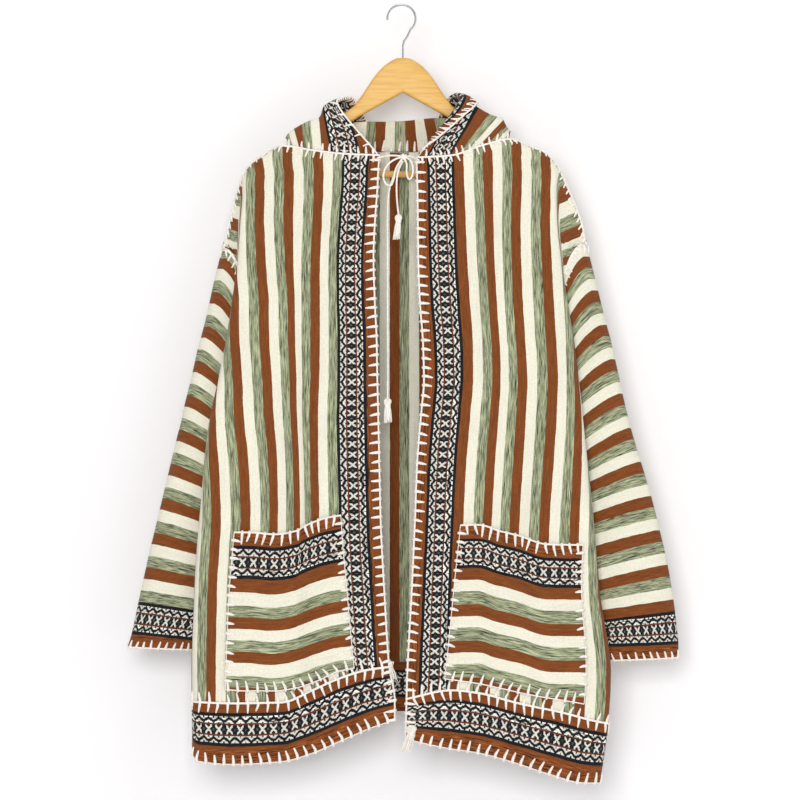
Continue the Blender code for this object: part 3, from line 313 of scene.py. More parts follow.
# Hood lines, each at one distance from the face edge, from the neck seam over the crest and down
# the back to the crown seam
HOOD_NAMES = (
    "face seam crest_x crest_y crest_z over_x over_y over_z "
    "behind_x behind_y behind_z low_x low_y low_z end_y end_z"
)
HOOD_TABLES = {
    Side.LEFT: Table(HOOD_NAMES, [
        (0, 3, 85, -8, -126, 68, 18, -118, 46, 46, -150, 26, 66, -212, 70, -240),
        (22, 30, 92, -8, -127, 82, 18, -120, 62, 52, -156, 36, 69, -222, 74, -256),
        (48, 62, 102, -8, -131, 96, 20, -131, 84, 56, -168, 52, 74, -238, 79, -282),
        (61, 76, 108, -8, -147, 104, 20, -146, 94, 58, -180, 62, 76, -250, 81, -298),
        (86, 98, 131, -6, -155, 124, 22, -155, 112, 60, -194, 78, 78, -270, 84, -322),
        (111, 114, 148, -3, -166, 142, 24, -166, 128, 57, -214, 90, 76, -296, 85, -350),
        (134, 132, 152, 8, -172, 148, 30, -176, 134, 50, -240, 102, 68, -330, 84, -378),
        (160, 150, 138, 20, -174, 132, 32, -182, 122, 40, -270, 106, 54, -380, 81, -404),
        (195, 182, 103, 28, -164, 100, 36, -170, 94, 40, -290, 80, 49, -440, 76, -436),
        (235, 222, 53, 33, -151, 53, 42, -153, 50, 43, -300, 42, 48, -462, 70, -462),
        (280, 272, 0, 34, -150, 0, 43, -152, 0, 44, -300, 0, 48, -465, 58, -480),
    ]),
    Side.RIGHT: Table(HOOD_NAMES, [
        (0, 3, 76, -10, -122, 66, 16, -116, 46, 46, -150, 26, 66, -212, 70, -240),
        (22, 20, 86, -10, -124, 78, 18, -120, 62, 52, -156, 36, 69, -222, 74, -256),
        (48, 44, 100, -10, -134, 100, 20, -137, 84, 56, -170, 52, 74, -238, 79, -282),
        (61, 56, 114, -9, -142, 110, 20, -143, 96, 58, -182, 62, 76, -250, 81, -298),
        (86, 82, 132, -8, -150, 126, 22, -151, 112, 60, -194, 78, 78, -270, 84, -322),
        (111, 108, 139, -5, -161, 134, 24, -161, 124, 57, -214, 90, 76, -296, 85, -350),
        (134, 128, 142, 8, -164, 138, 30, -170, 130, 50, -240, 102, 68, -330, 84, -378),
        (160, 146, 126, 20, -168, 122, 32, -176, 118, 40, -270, 106, 54, -380, 81, -404),
        (195, 176, 94, 28, -160, 92, 36, -166, 92, 40, -290, 80, 49, -440, 76, -436),
        (235, 216, 48, 33, -146, 48, 42, -148, 48, 43, -300, 42, 48, -462, 70, -462),
        (280, 264, 0, 34, -150, 0, 43, -152, 0, 44, -300, 0, 48, -465, 58, -480),
    ]),
}


def smooth_step(low: float, high: float, x: float) -> float:
    """Rise from 0 to 1 between low and high."""
    t = min(1.0, max(0.0, (x - low) / (high - low)))
    return t * t * (3 - 2 * t)


def lengths_along(points: Sequence[Sequence[float]], least: float = 0.0) -> list[float]:
    """Distance of each point from the first, where every step counts as the least or more."""
    lengths = [0.0]
    for before, after in zip(points, points[1:]):
        lengths.append(lengths[-1] + max(least, math.dist(before, after)))
    return lengths


@dataclass
class HalfForm:
    """Surfaces of one half of the garment, in millimetres."""

    side: Side
    front: Table
    top: Table
    hem: Table
    sleeve: Table
    hood: Table
    shoulder: Table = field(init=False)

    def __post_init__(self) -> None:
        """Take the shoulder seam from the top edge."""
        self.shoulder = Table(TOP_NAMES, [row for row in self.top.rows if row[0] >= NECK_END])

    def ring(self, ring: float, angle: float) -> Point:
        """Point of a sleeve ring.

        Args:
            ring: Which ring, from 0 at the armhole, with parts between two rings.
            angle: 0 at its outer side, 90 degrees at its front, 180 at its inner side.

        Returns:
            The point, with x outward.
        """
        names = self.sleeve.names.split()[1:]
        outer_x, outer_z, inner_x, inner_z, half_depth, hang = (
            self.sleeve.read(name, ring) for name in names
        )
        fall = max(0.0, ((1 - math.cos(angle)) / 2) ** hang - RING_TOP) / (1 - RING_TOP)
        x = (outer_x + inner_x) / 2 + (outer_x - inner_x) / 2 * math.cos(angle)
        return x, -half_depth * math.sin(angle), outer_z + (inner_z - outer_z) * fall

    def shoulder_part(self, w: float) -> float:
        """0 along the neck seam and 1 along the shoulder seam."""
        return smooth_step(NECK_END, SHOULDER_START, w)

    def roll_part(self, below: float) -> float:
        """How far the cloth has rolled from the shoulder's flat top to upright."""
        return math.sqrt(max(0.0, 1 - (1 - min(1.0, below / SHOULDER_ROLL)) ** 2))

    def front_layer(self, w: float, z: float) -> float:
        """Depth of the front layer before the middle plane.

        Args:
            w: Cloth distance from the opening.
            z: Height.

        Returns:
            The depth.
        """
        below = max(0.0, self.top.read("z", w) - z)
        edge = self.top.read("depth", w)
        start = edge - self.shoulder_part(w) * ROLL_DEPTH * (1 - self.roll_part(below))
        wave = math.sin(w / FRONT_WAVE_LENGTH + FRONT_WAVE_START * self.side.value)
        wave *= FRONT_WAVE * smooth_step(WAVES_FROM, WAVES_FULL, -z)
        settled = 1 - math.exp(-below / DRAPE_LENGTH)
        return start + (DEPTHS.read("front", z) - edge) * settled + wave

    def back_layer(self, w: float, z: float) -> float:
        """Depth of the back layer behind the middle plane.

        Args:
            w: Cloth distance from the middle.
            z: Height.

        Returns:
            The depth.
        """
        below = max(0.0, self.back_top(w) - z)
        edge = BACK_EDGE + BACK_NECK_DEPTH * (1 - smooth_step(60, NECK_END + BACK_SHIFT, w))
        start = edge - self.shoulder_part(w - BACK_SHIFT) * ROLL_DEPTH * (1 - self.roll_part(below))
        wave = math.sin(w / BACK_WAVE_LENGTH + self.side.value)
        wave *= BACK_WAVE * smooth_step(WAVES_FROM, WAVES_FULL, -z) * smooth_step(0, 60, w)
        settled = 1 - math.exp(-below / DRAPE_LENGTH)
        return start + (DEPTHS.read("back", z) - edge) * settled + wave

    def back_top(self, w: float) -> float:
        """Height of the back's top edge at cloth distance w from its middle."""
        front_w = w - BACK_SHIFT
        blend = smooth_step(70, NECK_END, front_w)
        return BACK_NECK_Z + (self.top.read("z", max(front_w, 88)) - BACK_NECK_Z) * blend

    def fold_radius(
        self, layer: Layer, fold_w: float, inner: float, z: float
    ) -> tuple[float, float]:
        """Radius of a side fold and the depth of the layer where the fold starts.

        Args:
            layer: Depth of the front or the back layer.
            fold_w: Cloth distance of the fold.
            inner: Depth of the wall behind the fold.
            z: Height.

        Returns:
            The radius and the depth.
        """
        radius = max(LEAST_RADIUS, (layer(fold_w - FOLD_REACH, z) - inner) / 2)
        outer = layer(fold_w - radius * math.pi / 2, z)
        return max(LEAST_RADIUS, (outer - inner) / 2), outer

    def fold_arc(self, fold_w: float, fold_x: float, outer: float, inner: float) -> list[Point]:
        """Round fold as (w, x, depth) rows, over the tip to the wall behind it.

        Args:
            fold_w: Cloth distance of the fold.
            fold_x: How far out its tip lies.
            outer: Depth of the layer that it starts from.
            inner: Depth of the wall behind it.

        Returns:
            Five rows.
        """
        radius = max(LEAST_RADIUS, (outer - inner) / 2)
        rows = []
        for quarter in (-2, -1, 0, 1, 2):
            angle = quarter * math.pi / 4
            x = fold_x - radius + radius * math.cos(angle)
            rows.append((fold_w + radius * angle, x, outer - radius - radius * math.sin(angle)))
        return rows

    def spread(self, start: Point, places: list[tuple[float, float]], end_w: float) -> list[Point]:
        """Rows (w, x, depth) after a start row, their w shared out by length.

        Args:
            start: The row before them.
            places: Their (x, depth).
            end_w: The w of the last.

        Returns:
            The rows.
        """
        lengths = lengths_along([start[1:], *places], 0.5)
        rate = (end_w - start[0]) / lengths[-1]
        return [(start[0] + a * rate, x, y) for a, (x, y) in zip(lengths[1:], places)]

    def upper_side(self, layer: Layer, fold: Point, end: Point, z: float) -> list[Point]:
        """Side rows of a section above the underarm: a soft fold, then on to its end.

        Args:
            layer: Depth of the front or the back layer.
            fold: The fold's cloth distance, its x, and the depth of the wall behind it.
            end: The section's end as (w, x, depth).
            z: Height.

        Returns:
            Rows (w, x, depth).
        """
        fold_w, fold_x, inner = fold
        end_w, end_x, end_depth = end
        radius, outer = self.fold_radius(layer, fold_w, max(inner, end_depth + 1.0), z)
        inner = outer - 2 * radius
        if end_x >= fold_x:
            turn_x = fold_x + min(2.0, 0.3 * (end_x - fold_x))
        else:
            turn_x = max(fold_x - radius, end_x + 0.5)
        quarter = radius * math.pi / 4
        after = quarter * min(1.0, (end_w - fold_w) / (2 * quarter + POCKET_CORNER))
        bend = BEND_SHARE * radius
        rows = [
            (fold_w - 2 * quarter, fold_x - radius, outer),
            (fold_w - quarter, fold_x - bend, outer - bend),
            (fold_w, fold_x, outer - radius),
            (fold_w + after, turn_x + 0.7 * (fold_x - turn_x), inner + 0.3 * radius),
            (fold_w + 2 * after, turn_x, inner),
        ]
        corner = min(POCKET_CORNER, (turn_x - end_x) / 2, inner - end_depth)
        rest = []
        if corner > 0.5:
            rest.append((end_x + corner, inner))
            rest.append((end_x + 0.3 * corner, inner - 0.3 * corner))
            rest.append((end_x, inner - corner))
        rest.append((end_x, end_depth))
        return rows + self.spread(rows[-1], rest, end_w)

    def upper_end(self, z: float) -> Point:
        """End (front w, x, depth) of a section, on the shoulder seam or the armhole.

        Args:
            z: Height.

        Returns:
            The end.
        """
        outer_z, inner_z = self.sleeve.read("outer_z", 0), self.sleeve.read("inner_z", 0)
        if z < outer_z:
            fall = (outer_z - z) / (outer_z - inner_z) * (1 - RING_TOP) + RING_TOP
            turn = 1 - 2 * fall ** (1 / self.sleeve.read("hang", 0))
            x, y, _ = self.ring(0, math.acos(max(-1.0, min(1.0, turn))))
            return FRONT_WIDTH, x, -y
        end_w = self.shoulder.read("w", z, "z")
        opened = smooth_step(-outer_z - SHOULDER_OPENING, -outer_z, -z)
        corner = self.ring(0, 0)
        end_x = self.top.read("x", end_w) - opened * (self.sleeve.read("outer_x", 0) - corner[0])
        return end_w, end_x, SHOULDER_FLAT - opened * (corner[1] + SHOULDER_FLAT)

    def front_section(self, z: float) -> Path:
        """Path of a front panel at height z as (w, x, depth); None is the layer's own depth.

        Args:
            z: Height.

        Returns:
            The rows.
        """
        open_x, fold_w, fold_x, pocket_x, tuck = (
            self.front.read(name, z) for name in ("open_x", "fold_w", "fold_x", "pocket_x", "tuck")
        )
        pocket = DEPTHS.read("pocket", z)
        above = z > self.sleeve.read("inner_z", 0)
        end = self.upper_end(z) if above else None
        if end and end[0] <= fold_w + 1:
            return [(0, open_x, None), (end[0], end[1], None)]
        if end:
            fold = self.upper_side(self.front_layer, (fold_w, fold_x, pocket), end, z)
        else:
            outer = self.fold_radius(self.front_layer, fold_w, pocket, z)[1]
            inner = min(pocket, outer - 3)
            fold = self.fold_arc(fold_w, fold_x, outer, inner)
            last_w, last_x = fold[-1][:2]
            corner_w = last_w + max(2.0, last_x - pocket_x - POCKET_CORNER)
            bend = POCKET_CORNER * math.pi / 4
            small = CORNER_STEP
            fold += [
                (corner_w, min(pocket_x + POCKET_CORNER, last_x - 1), inner),
                (corner_w + bend, pocket_x + small, inner - small),
                (corner_w + 2 * bend, pocket_x, inner - POCKET_CORNER),
                (corner_w + 2 * bend + inner, pocket_x, -POCKET_CORNER),
            ]
        rate = (fold[0][1] - open_x + tuck) / fold[0][0]
        path = [(0, open_x, None)]
        for w, hidden in ((PLACKET_WIDTH + 34, 0), (PLACKET_WIDTH + 76, tuck)):
            path.append((w, open_x + w * rate - hidden, None))
        return path + fold

    def back_fold_w(self, z: float) -> float:
        """Cloth distance of the back's side fold from its middle."""
        low = min(z, FOLD_START_Z)
        fold_x = self.front.read("fold_x", low) - 4
        return min(fold_x, self.front.read("pocket_x", low) + BACK_FOLD_REACH)

    def back_section(self, z: float) -> Path:
        """Path of the back panel at height z, from its middle, as (w, x, y).

        Args:
            z: Height.

        Returns:
            The rows.
        """
        pocket_x = self.front.read("pocket_x", z)
        pocket = DEPTHS.read("pocket", z)
        outer_z, inner_z = self.sleeve.read("outer_z", 0), self.sleeve.read("inner_z", 0)
        if z > inner_z:
            end_w, end_x, end_depth = self.upper_end(z)
            fold_x = end_x - 2
            if z < outer_z:
                low = smooth_step(-outer_z, -inner_z, -z)
                fold_x = max(end_x + 1 - 3 * (1 - low), pocket_x + BACK_FOLD_REACH * low)
            end = (end_w + BACK_SHIFT, end_x, end_depth)
            side = self.upper_side(self.back_layer, (fold_x, fold_x, pocket), end, z)
            return [(0, 0, None), *side]
        fold_w = self.back_fold_w(z)
        outer = self.fold_radius(self.back_layer, fold_w, pocket, z)[1]
        inner = min(pocket, outer - 3)
        arc = self.fold_arc(fold_w, fold_w, outer, inner)
        seam_x, seam_y, _ = self.front_point(FRONT_WIDTH, z)
        layer = self.front_layer(self.front.read("fold_w", z) - FOLD_REACH, z)
        front_pocket = min(pocket, layer - 3)
        small = CORNER_STEP
        rest = [
            (min(pocket_x + POCKET_CORNER, arc[-1][1] - 1), inner),
            (pocket_x + small, inner - small),
            (pocket_x, inner - POCKET_CORNER),
        ]
        if -seam_y > 4:
            rest.append((pocket_x, -min(-seam_y, front_pocket) + POCKET_CORNER))
        if seam_x > pocket_x + POCKET_CORNER:
            rest.append((pocket_x + small, -front_pocket + small))
            rest.append((pocket_x + POCKET_CORNER, -front_pocket))
        rest.append((seam_x, seam_y))
        return [(0, 0, None), *arc, *self.spread(arc[-1], rest, FRONT_WIDTH + BACK_SHIFT)]

    def place(self, path: Path, w: float, own_depth: Callable[[], float]) -> tuple[float, float]:
        """Point of a section.

        Args:
            path: The section's rows.
            w: Cloth distance along it.
            own_depth: The layer's own depth at w.

        Returns:
            Its x and depth.
        """
        x = SmoothCurve([row[0] for row in path], [row[1] for row in path]).at(w)
        known = [row for row in path if row[2] is not None]
        if not known or w <= known[0][0]:
            return x, own_depth()
        return x, SmoothCurve([row[0] for row in known], [row[2] for row in known]).at(w)

    def front_point(self, w: float, z: float) -> Point:
        """Outer point of the front panel, with x outward."""
        x, depth = self.place(self.front_section(z), w, lambda: self.front_layer(w, z))
        return x, -depth, z

    def back_point(self, w: float, z: float) -> Point:
        """Outer point of the back panel, with x outward."""
        x, depth = self.place(self.back_section(z), w, lambda: self.back_layer(w, z))
        return x, depth, z

    def neck_point(self, seam: float) -> np.ndarray:
        """Point of the neck seam where a hood line starts.

        Args:
            seam: Distance along the seam from the front opening.

        Returns:
            The point, with x outward.
        """
        if seam <= NECK_ROUND:
            return np.array(self.front_point(seam, self.top.read("z", seam)))
        last = NECK_ROUND + BACK_SHIFT
        total = self.hood.rows[-1][1]
        turn = NECK_ROUND + NECK_TURN
        if seam < turn:
            ahead = np.array(self.front_point(NECK_ROUND, self.top.read("z", NECK_ROUND)))
            behind = np.array(self.back_point(last, self.back_top(last)))
            return ahead + (behind - ahead) * (seam - NECK_ROUND) / NECK_TURN
        w = last * (total - seam) / (total - turn)
        return np.array(self.back_point(w, self.back_top(w)))

    def hood_line(self, face: float, steps: int) -> list[Point]:
        """Points of the hood's line at distance face from its face edge.

        Args:
            face: Cloth distance from the face edge.
            steps: Number of steps from the neck seam to the crown seam.

        Returns:
            steps + 1 points, with x outward.
        """
        at = {name: self.hood.read(name, face) for name in self.hood.names.split()}
        start = self.neck_point(at["seam"])
        points = [np.array((abs(start[0]), start[1], start[2] + HOOD_LIFT))]
        for name in ("crest", "over", "behind", "low"):
            points.append(np.array([at[f"{name}_{axis}"] for axis in "xyz"]))
        reach = min(CROWN_REACH, points[-1][0] * 0.6)
        points.append(np.array((reach, at["end_y"], at["end_z"])))
        points.append(np.array((0.0, at["end_y"], at["end_z"])))
        lengths = lengths_along(points, 1.0)
        curves = [SmoothCurve(lengths, [p[axis] for p in points]) for axis in range(3)]
        return [tuple(c.at(lengths[-1] * i / steps) for c in curves) for i in range(steps + 1)]


ALL_TABLES = (FRONT_TABLES, TOP_TABLES, HEM_TABLES, SLEEVE_TABLES, HOOD_TABLES)
FORMS = {side: HalfForm(side, *[tables[side] for tables in ALL_TABLES]) for side in Side}


def edge_of_back(name: str, side: Side, w: float) -> float:
    """Height of the back's hem seam or lower edge, which joins the two fronts' ends."""
    ends = {s: HEM_TABLES[s].read(name, FRONT_WIDTH) for s in Side}
    middle = (ends[Side.LEFT] + ends[Side.RIGHT]) / 2 + BACK_RISE
    return middle + (ends[side] - middle) * smooth_step(0, FRONT_WIDTH + BACK_SHIFT, w)


@dataclass(frozen=True)
class Crease:
    """Soft ridge, or trough where rise is negative, between two places on a cloth."""

    w0: float
    z0: float
    w1: float
    z1: float
    width: float
    rise: float
    bow: float = 0.0

    def height(self, w: np.ndarray, z: np.ndarray) -> np.ndarray:
        """Height of the crease at places on the cloth.

        Args:
            w: Distances across the cloth.
            z: Heights.

        Returns:
            Heights above the cloth's own face, in millimetres.
        """
        run_w, run_z = self.w1 - self.w0, self.z1 - self.z0
        length = math.hypot(run_w, run_z)
        along = ((w - self.w0) * run_w + (z - self.z0) * run_z) / length**2
        inside = np.clip(along, 0.0, 1.0)
        off = ((w - self.w0) * run_z - (z - self.z0) * run_w) / length
        off -= self.bow * 4 * inside * (1 - inside)
        taper = np.sin(np.pi * inside) ** 0.7
        return self.rise * taper * np.exp(-((off / self.width) ** 2))


def creased(*rows: tuple[float, ...]) -> tuple[Crease, ...]:
    """Creases from rows of their sizes."""
    return tuple(Crease(*row) for row in rows)


@dataclass
class Cloth:
    """A cloth's outer face as rows and columns of points, and where each lies on the cloth."""

    name: str
    points: np.ndarray
    w: np.ndarray
    z: np.ndarray
    pattern: np.ndarray
    outward: tuple[float, float, float]
    turned: bool = field(init=False)

    def __post_init__(self) -> None:
        """Find whether the rows and columns have to be turned over to face outward."""
        row, col = (size // 2 for size in self.w.shape)
        self.turned = float(np.dot(self.facing(row, col), self.outward)) < 0

    def facing(self, row: int, col: int) -> np.ndarray:
        """Which way the rows and columns face at a place, as they come."""
        across = self.points[row, col + 1] - self.points[row, col - 1]
        return np.cross(across, self.points[row + 1, col] - self.points[row - 1, col])

    def outward_of(self, across: np.ndarray, down: np.ndarray) -> np.ndarray:
        """Outward normal of a step across and a step down."""
        normal = np.cross(across, down) * (-1 if self.turned else 1)
        return normal / np.maximum(np.linalg.norm(normal, axis=-1, keepdims=True), 1e-12)

    def press(self, creases: Sequence[Crease], calm: float = 0.0) -> None:
        """Raise and sink the face by its creases, and by the slight unevenness of hand weaving.

        Args:
            creases: The cloth's creases.
            calm: Distance below the top edge over which they fade in, in millimetres.
        """
        rise = sum((crease.height(self.w, self.z) for crease in creases), np.zeros_like(self.w))
        rise += 0.5 * np.sin(self.w / 17 + self.z / 61) * np.sin(self.z / 43 - self.w / 29)
        if calm:
            drop = np.linalg.norm(np.diff(self.points, axis=0), axis=2).cumsum(axis=0) / MM
            drop = np.vstack([np.zeros((1, drop.shape[1])), drop])
            rise *= np.clip(drop / calm, 0.0, 1.0) ** 1.5
        steps = (np.gradient(self.points, axis=axis) for axis in (1, 0))
        self.points = self.points + self.outward_of(*steps) * (rise * MM)[..., None]

    def sample(self, row: float, col: float) -> tuple[np.ndarray, np.ndarray]:
        """Point and outward normal between rows and columns.

        Args:
            row: Row, with parts between two rows.
            col: Column, likewise.

        Returns:
            The point in metres, and the normal.
        """
        rows, cols = self.w.shape
        row, col = min(max(row, 0.0), rows - 1.0), min(max(col, 0.0), cols - 1.0)
        r, c = min(int(row), rows - 2), min(int(col), cols - 2)
        a, b = row - r, col - c
        weights = ((1 - a) * (1 - b), (1 - a) * b, a * (1 - b), a * b)
        places = ((r, c), (r, c + 1), (r + 1, c), (r + 1, c + 1))
        p, right, below, far = (self.points[place] for place in places)
        point = sum(k * corner for k, corner in zip(weights, (p, right, below, far)))
        across, down = (right - p) + (far - below), (below - p) + (far - right)
        return point, self.outward_of(across, down)

    def find(self, w: float, z: float) -> tuple[float, float]:
        """Row and column at a place on a cloth whose columns run at one w each."""
        col = float(np.interp(w, self.w[0], np.arange(self.w.shape[1])))
        c = min(int(col), self.w.shape[1] - 2)
        heights = self.z[:, c] + (self.z[:, c + 1] - self.z[:, c]) * (col - c)
        return float(np.interp(-z, -heights, np.arange(len(heights)))), col

    def step_from(self, edge: Edge, t: float) -> tuple[float, float, int, int]:
        """Row and column at part t of an edge, and the step of each that leads inward.

        Args:
            edge: Which edge.
            t: Part of the way along it.

        Returns:
            Row, column, and the step of each.
        """
        rows, cols = self.w.shape
        if edge is Edge.TOP:
            return 0.0, t * (cols - 1), 1, 0
        if edge is Edge.BOTTOM:
            return rows - 1.0, t * (cols - 1), -1, 0
        if edge is Edge.START:
            return t * (rows - 1), 0.0, 0, 1
        return t * (rows - 1), cols - 1.0, 0, -1

    def on_edge(self, edge: Edge, t: float) -> tuple[np.ndarray, np.ndarray]:
        """Point and outward normal at part t of an edge."""
        return self.sample(*self.step_from(edge, t)[:2])

    def area(self) -> float:
        """Area of the outer face in square metres."""
        across = np.diff(self.points, axis=1)[:-1]
        down = np.diff(self.points, axis=0)[:, :-1]
        return float(np.linalg.norm(np.cross(across, down), axis=2).sum())

    def flipped(self) -> "Cloth":
        """The same cloth with its columns in the other order."""
        return Cloth(self.name, *[getattr(self, part)[:, ::-1] for part in PARTS], self.outward)

    def piece(self, finish: "Finish", weld: bool = False) -> bpy.types.Object:
        """Make the cloth's object, a shell with its thickness on the inner side.

        Args:
            finish: The cloth's finish.
            weld: Whether edges that lie on each other are joined.

        Returns:
            The object.
        """
        rows, cols = self.w.shape
        builder = bmesh.new()
        bmesh.ops.create_grid(builder, x_segments=cols - 1, y_segments=rows - 1, size=1.0)
        builder.verts.index_update()
        places = []
        for vert in builder.verts:
            col = round((vert.co.x + 1) / 2 * (cols - 1))
            row = round((vert.co.y + 1) / 2 * (rows - 1))
            places.append((row, cols - 1 - col if self.turned else col))
        uv_layer = builder.loops.layers.uv.new("cloth")
        for face in builder.faces:
            for loop in face.loops:
                loop[uv_layer].uv = self.pattern[places[loop.vert.index]]
        for vert, place in zip(builder.verts, places):
            vert.co = self.points[place]
        if weld:
            bmesh.ops.remove_doubles(builder, verts=builder.verts, dist=0.00005)
        made = add_mesh(self.name, builder, finish)
        wall = made.modifiers.new("cloth thickness", "SOLIDIFY")
        wall.thickness = CLOTH * MM
        wall.offset = -1.0
        wall.use_even_offset = False
        made.data.shade_smooth()
        return made


def add_object(name: str, data: bpy.types.ID, finish: "Finish") -> bpy.types.Object:
    """Put a mesh or curve in the scene under a piece's name, in its finish."""
    made = bpy.data.objects.new(name, data)
    data.materials.append(finish.material())
    bpy.context.scene.collection.objects.link(made)
    return made


def add_mesh(name: str, builder: bmesh.types.BMesh, finish: "Finish") -> bpy.types.Object:
    """Put what a builder holds in the scene as a mesh, and free the builder."""
    mesh = bpy.data.meshes.new(name)
    builder.to_mesh(mesh)
    builder.free()
    return add_object(name, mesh, finish)


def keep(piece: bpy.types.Object, slot: str, *nodes: str) -> bpy.types.Object:
    """Fix a piece to the garment's body, in place of CAD nodes.

    Args:
        piece: The piece.
        slot: Not used.
        nodes: The CAD nodes that it stands for.

    Returns:
        The piece.
    """
    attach(piece, "root")
    if nodes:
        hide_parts(*nodes)
    LOG.info("%s made for %s", piece.name, ", ".join(nodes) or "the looks alone")
    return piece


def linear(colour: str) -> tuple[float, float, float, float]:
    """Turn an sRGB hex colour to linear values."""
    parts = [int(colour[i : i + 2], 16) / 255 for i in (1, 3, 5)]
    return (*[p / 12.92 if p <= 0.04045 else ((p + 0.055) / 1.055) ** 2.4 for p in parts], 1.0)


@dataclass
class Finish:
    """A material that is made once and shared by the pieces that have it."""

    name: str
    made: bpy.types.Material | None = field(default=None, init=False)

    def material(self) -> bpy.types.Material:
        """Make the material on the first call and return it."""
        if self.made is None:
            self.made = bpy.data.materials.new(self.name)
            self.made.use_nodes = True
            self.dress()
        return self.made

    def dress(self) -> None:
        """Add the finish's nodes to a plain shader."""
        raise NotImplementedError

    def give(self, inputs: dict[str, object]) -> None:
        """Set or link the shader's inputs by name."""
        for name, value in inputs.items():
            self.fill(self.made.node_tree.nodes["Principled BSDF"].inputs[name], value)

    def fill(self, socket: Socket, value: object) -> None:
        """Link a socket to an input or set its value; None leaves it as it is."""
        if isinstance(value, Socket):
            self.made.node_tree.links.new(value, socket)
        elif value is not None:
            socket.default_value = value

    def node(self, kind: str, *values: object, out: int = 0, **settings: object) -> Socket:
        """Add a node with its settings and links.

        Args:
            kind: The node's type, without its prefix.
            values: A socket to link or a value for each input in turn; None leaves one as it is.
            out: Which output to return.
            settings: The node's own settings.

        Returns:
            The output socket.
        """
        made = self.made.node_tree.nodes.new(f"ShaderNode{kind}")
        for name, value in settings.items():
            setattr(made, name, value)
        for socket, value in zip(made.inputs, values):
            self.fill(socket, value)
        return made.outputs[out]

    def math(self, operation: str, *values: object) -> Socket:
        """Add a node that works out a value."""
        return self.node("Math", *values, operation=operation)

    def noise(self, place: Socket, scale: float, detail: float, *more: object) -> Socket:
        """Add a noise texture; more is its roughness, then its other inputs."""
        return self.node("TexNoise", place, None, scale, detail, *more)

    def own_place(self) -> Socket:
        """Place in the piece's own space, in metres."""
        return self.node("TexCoord", out=3)

    def ramp(self, factor: Socket, steps: Sequence[tuple], mode: str = "EASE") -> Socket:
        """Add a colour ramp with stops of (position, colour) and its way between them.

        Args:
            factor: Where to read the ramp.
            steps: Its stops.
            mode: How it goes between them.

        Returns:
            The ramp's colour.
        """
        ramp = self.node("ValToRGB", factor)
        colours = ramp.node.color_ramp
        colours.interpolation = mode
        while len(colours.elements) < len(steps):
            colours.elements.new(1.0)
        for element, (position, colour) in zip(colours.elements, steps):
            element.position = position
            element.color = colour
        return ramp


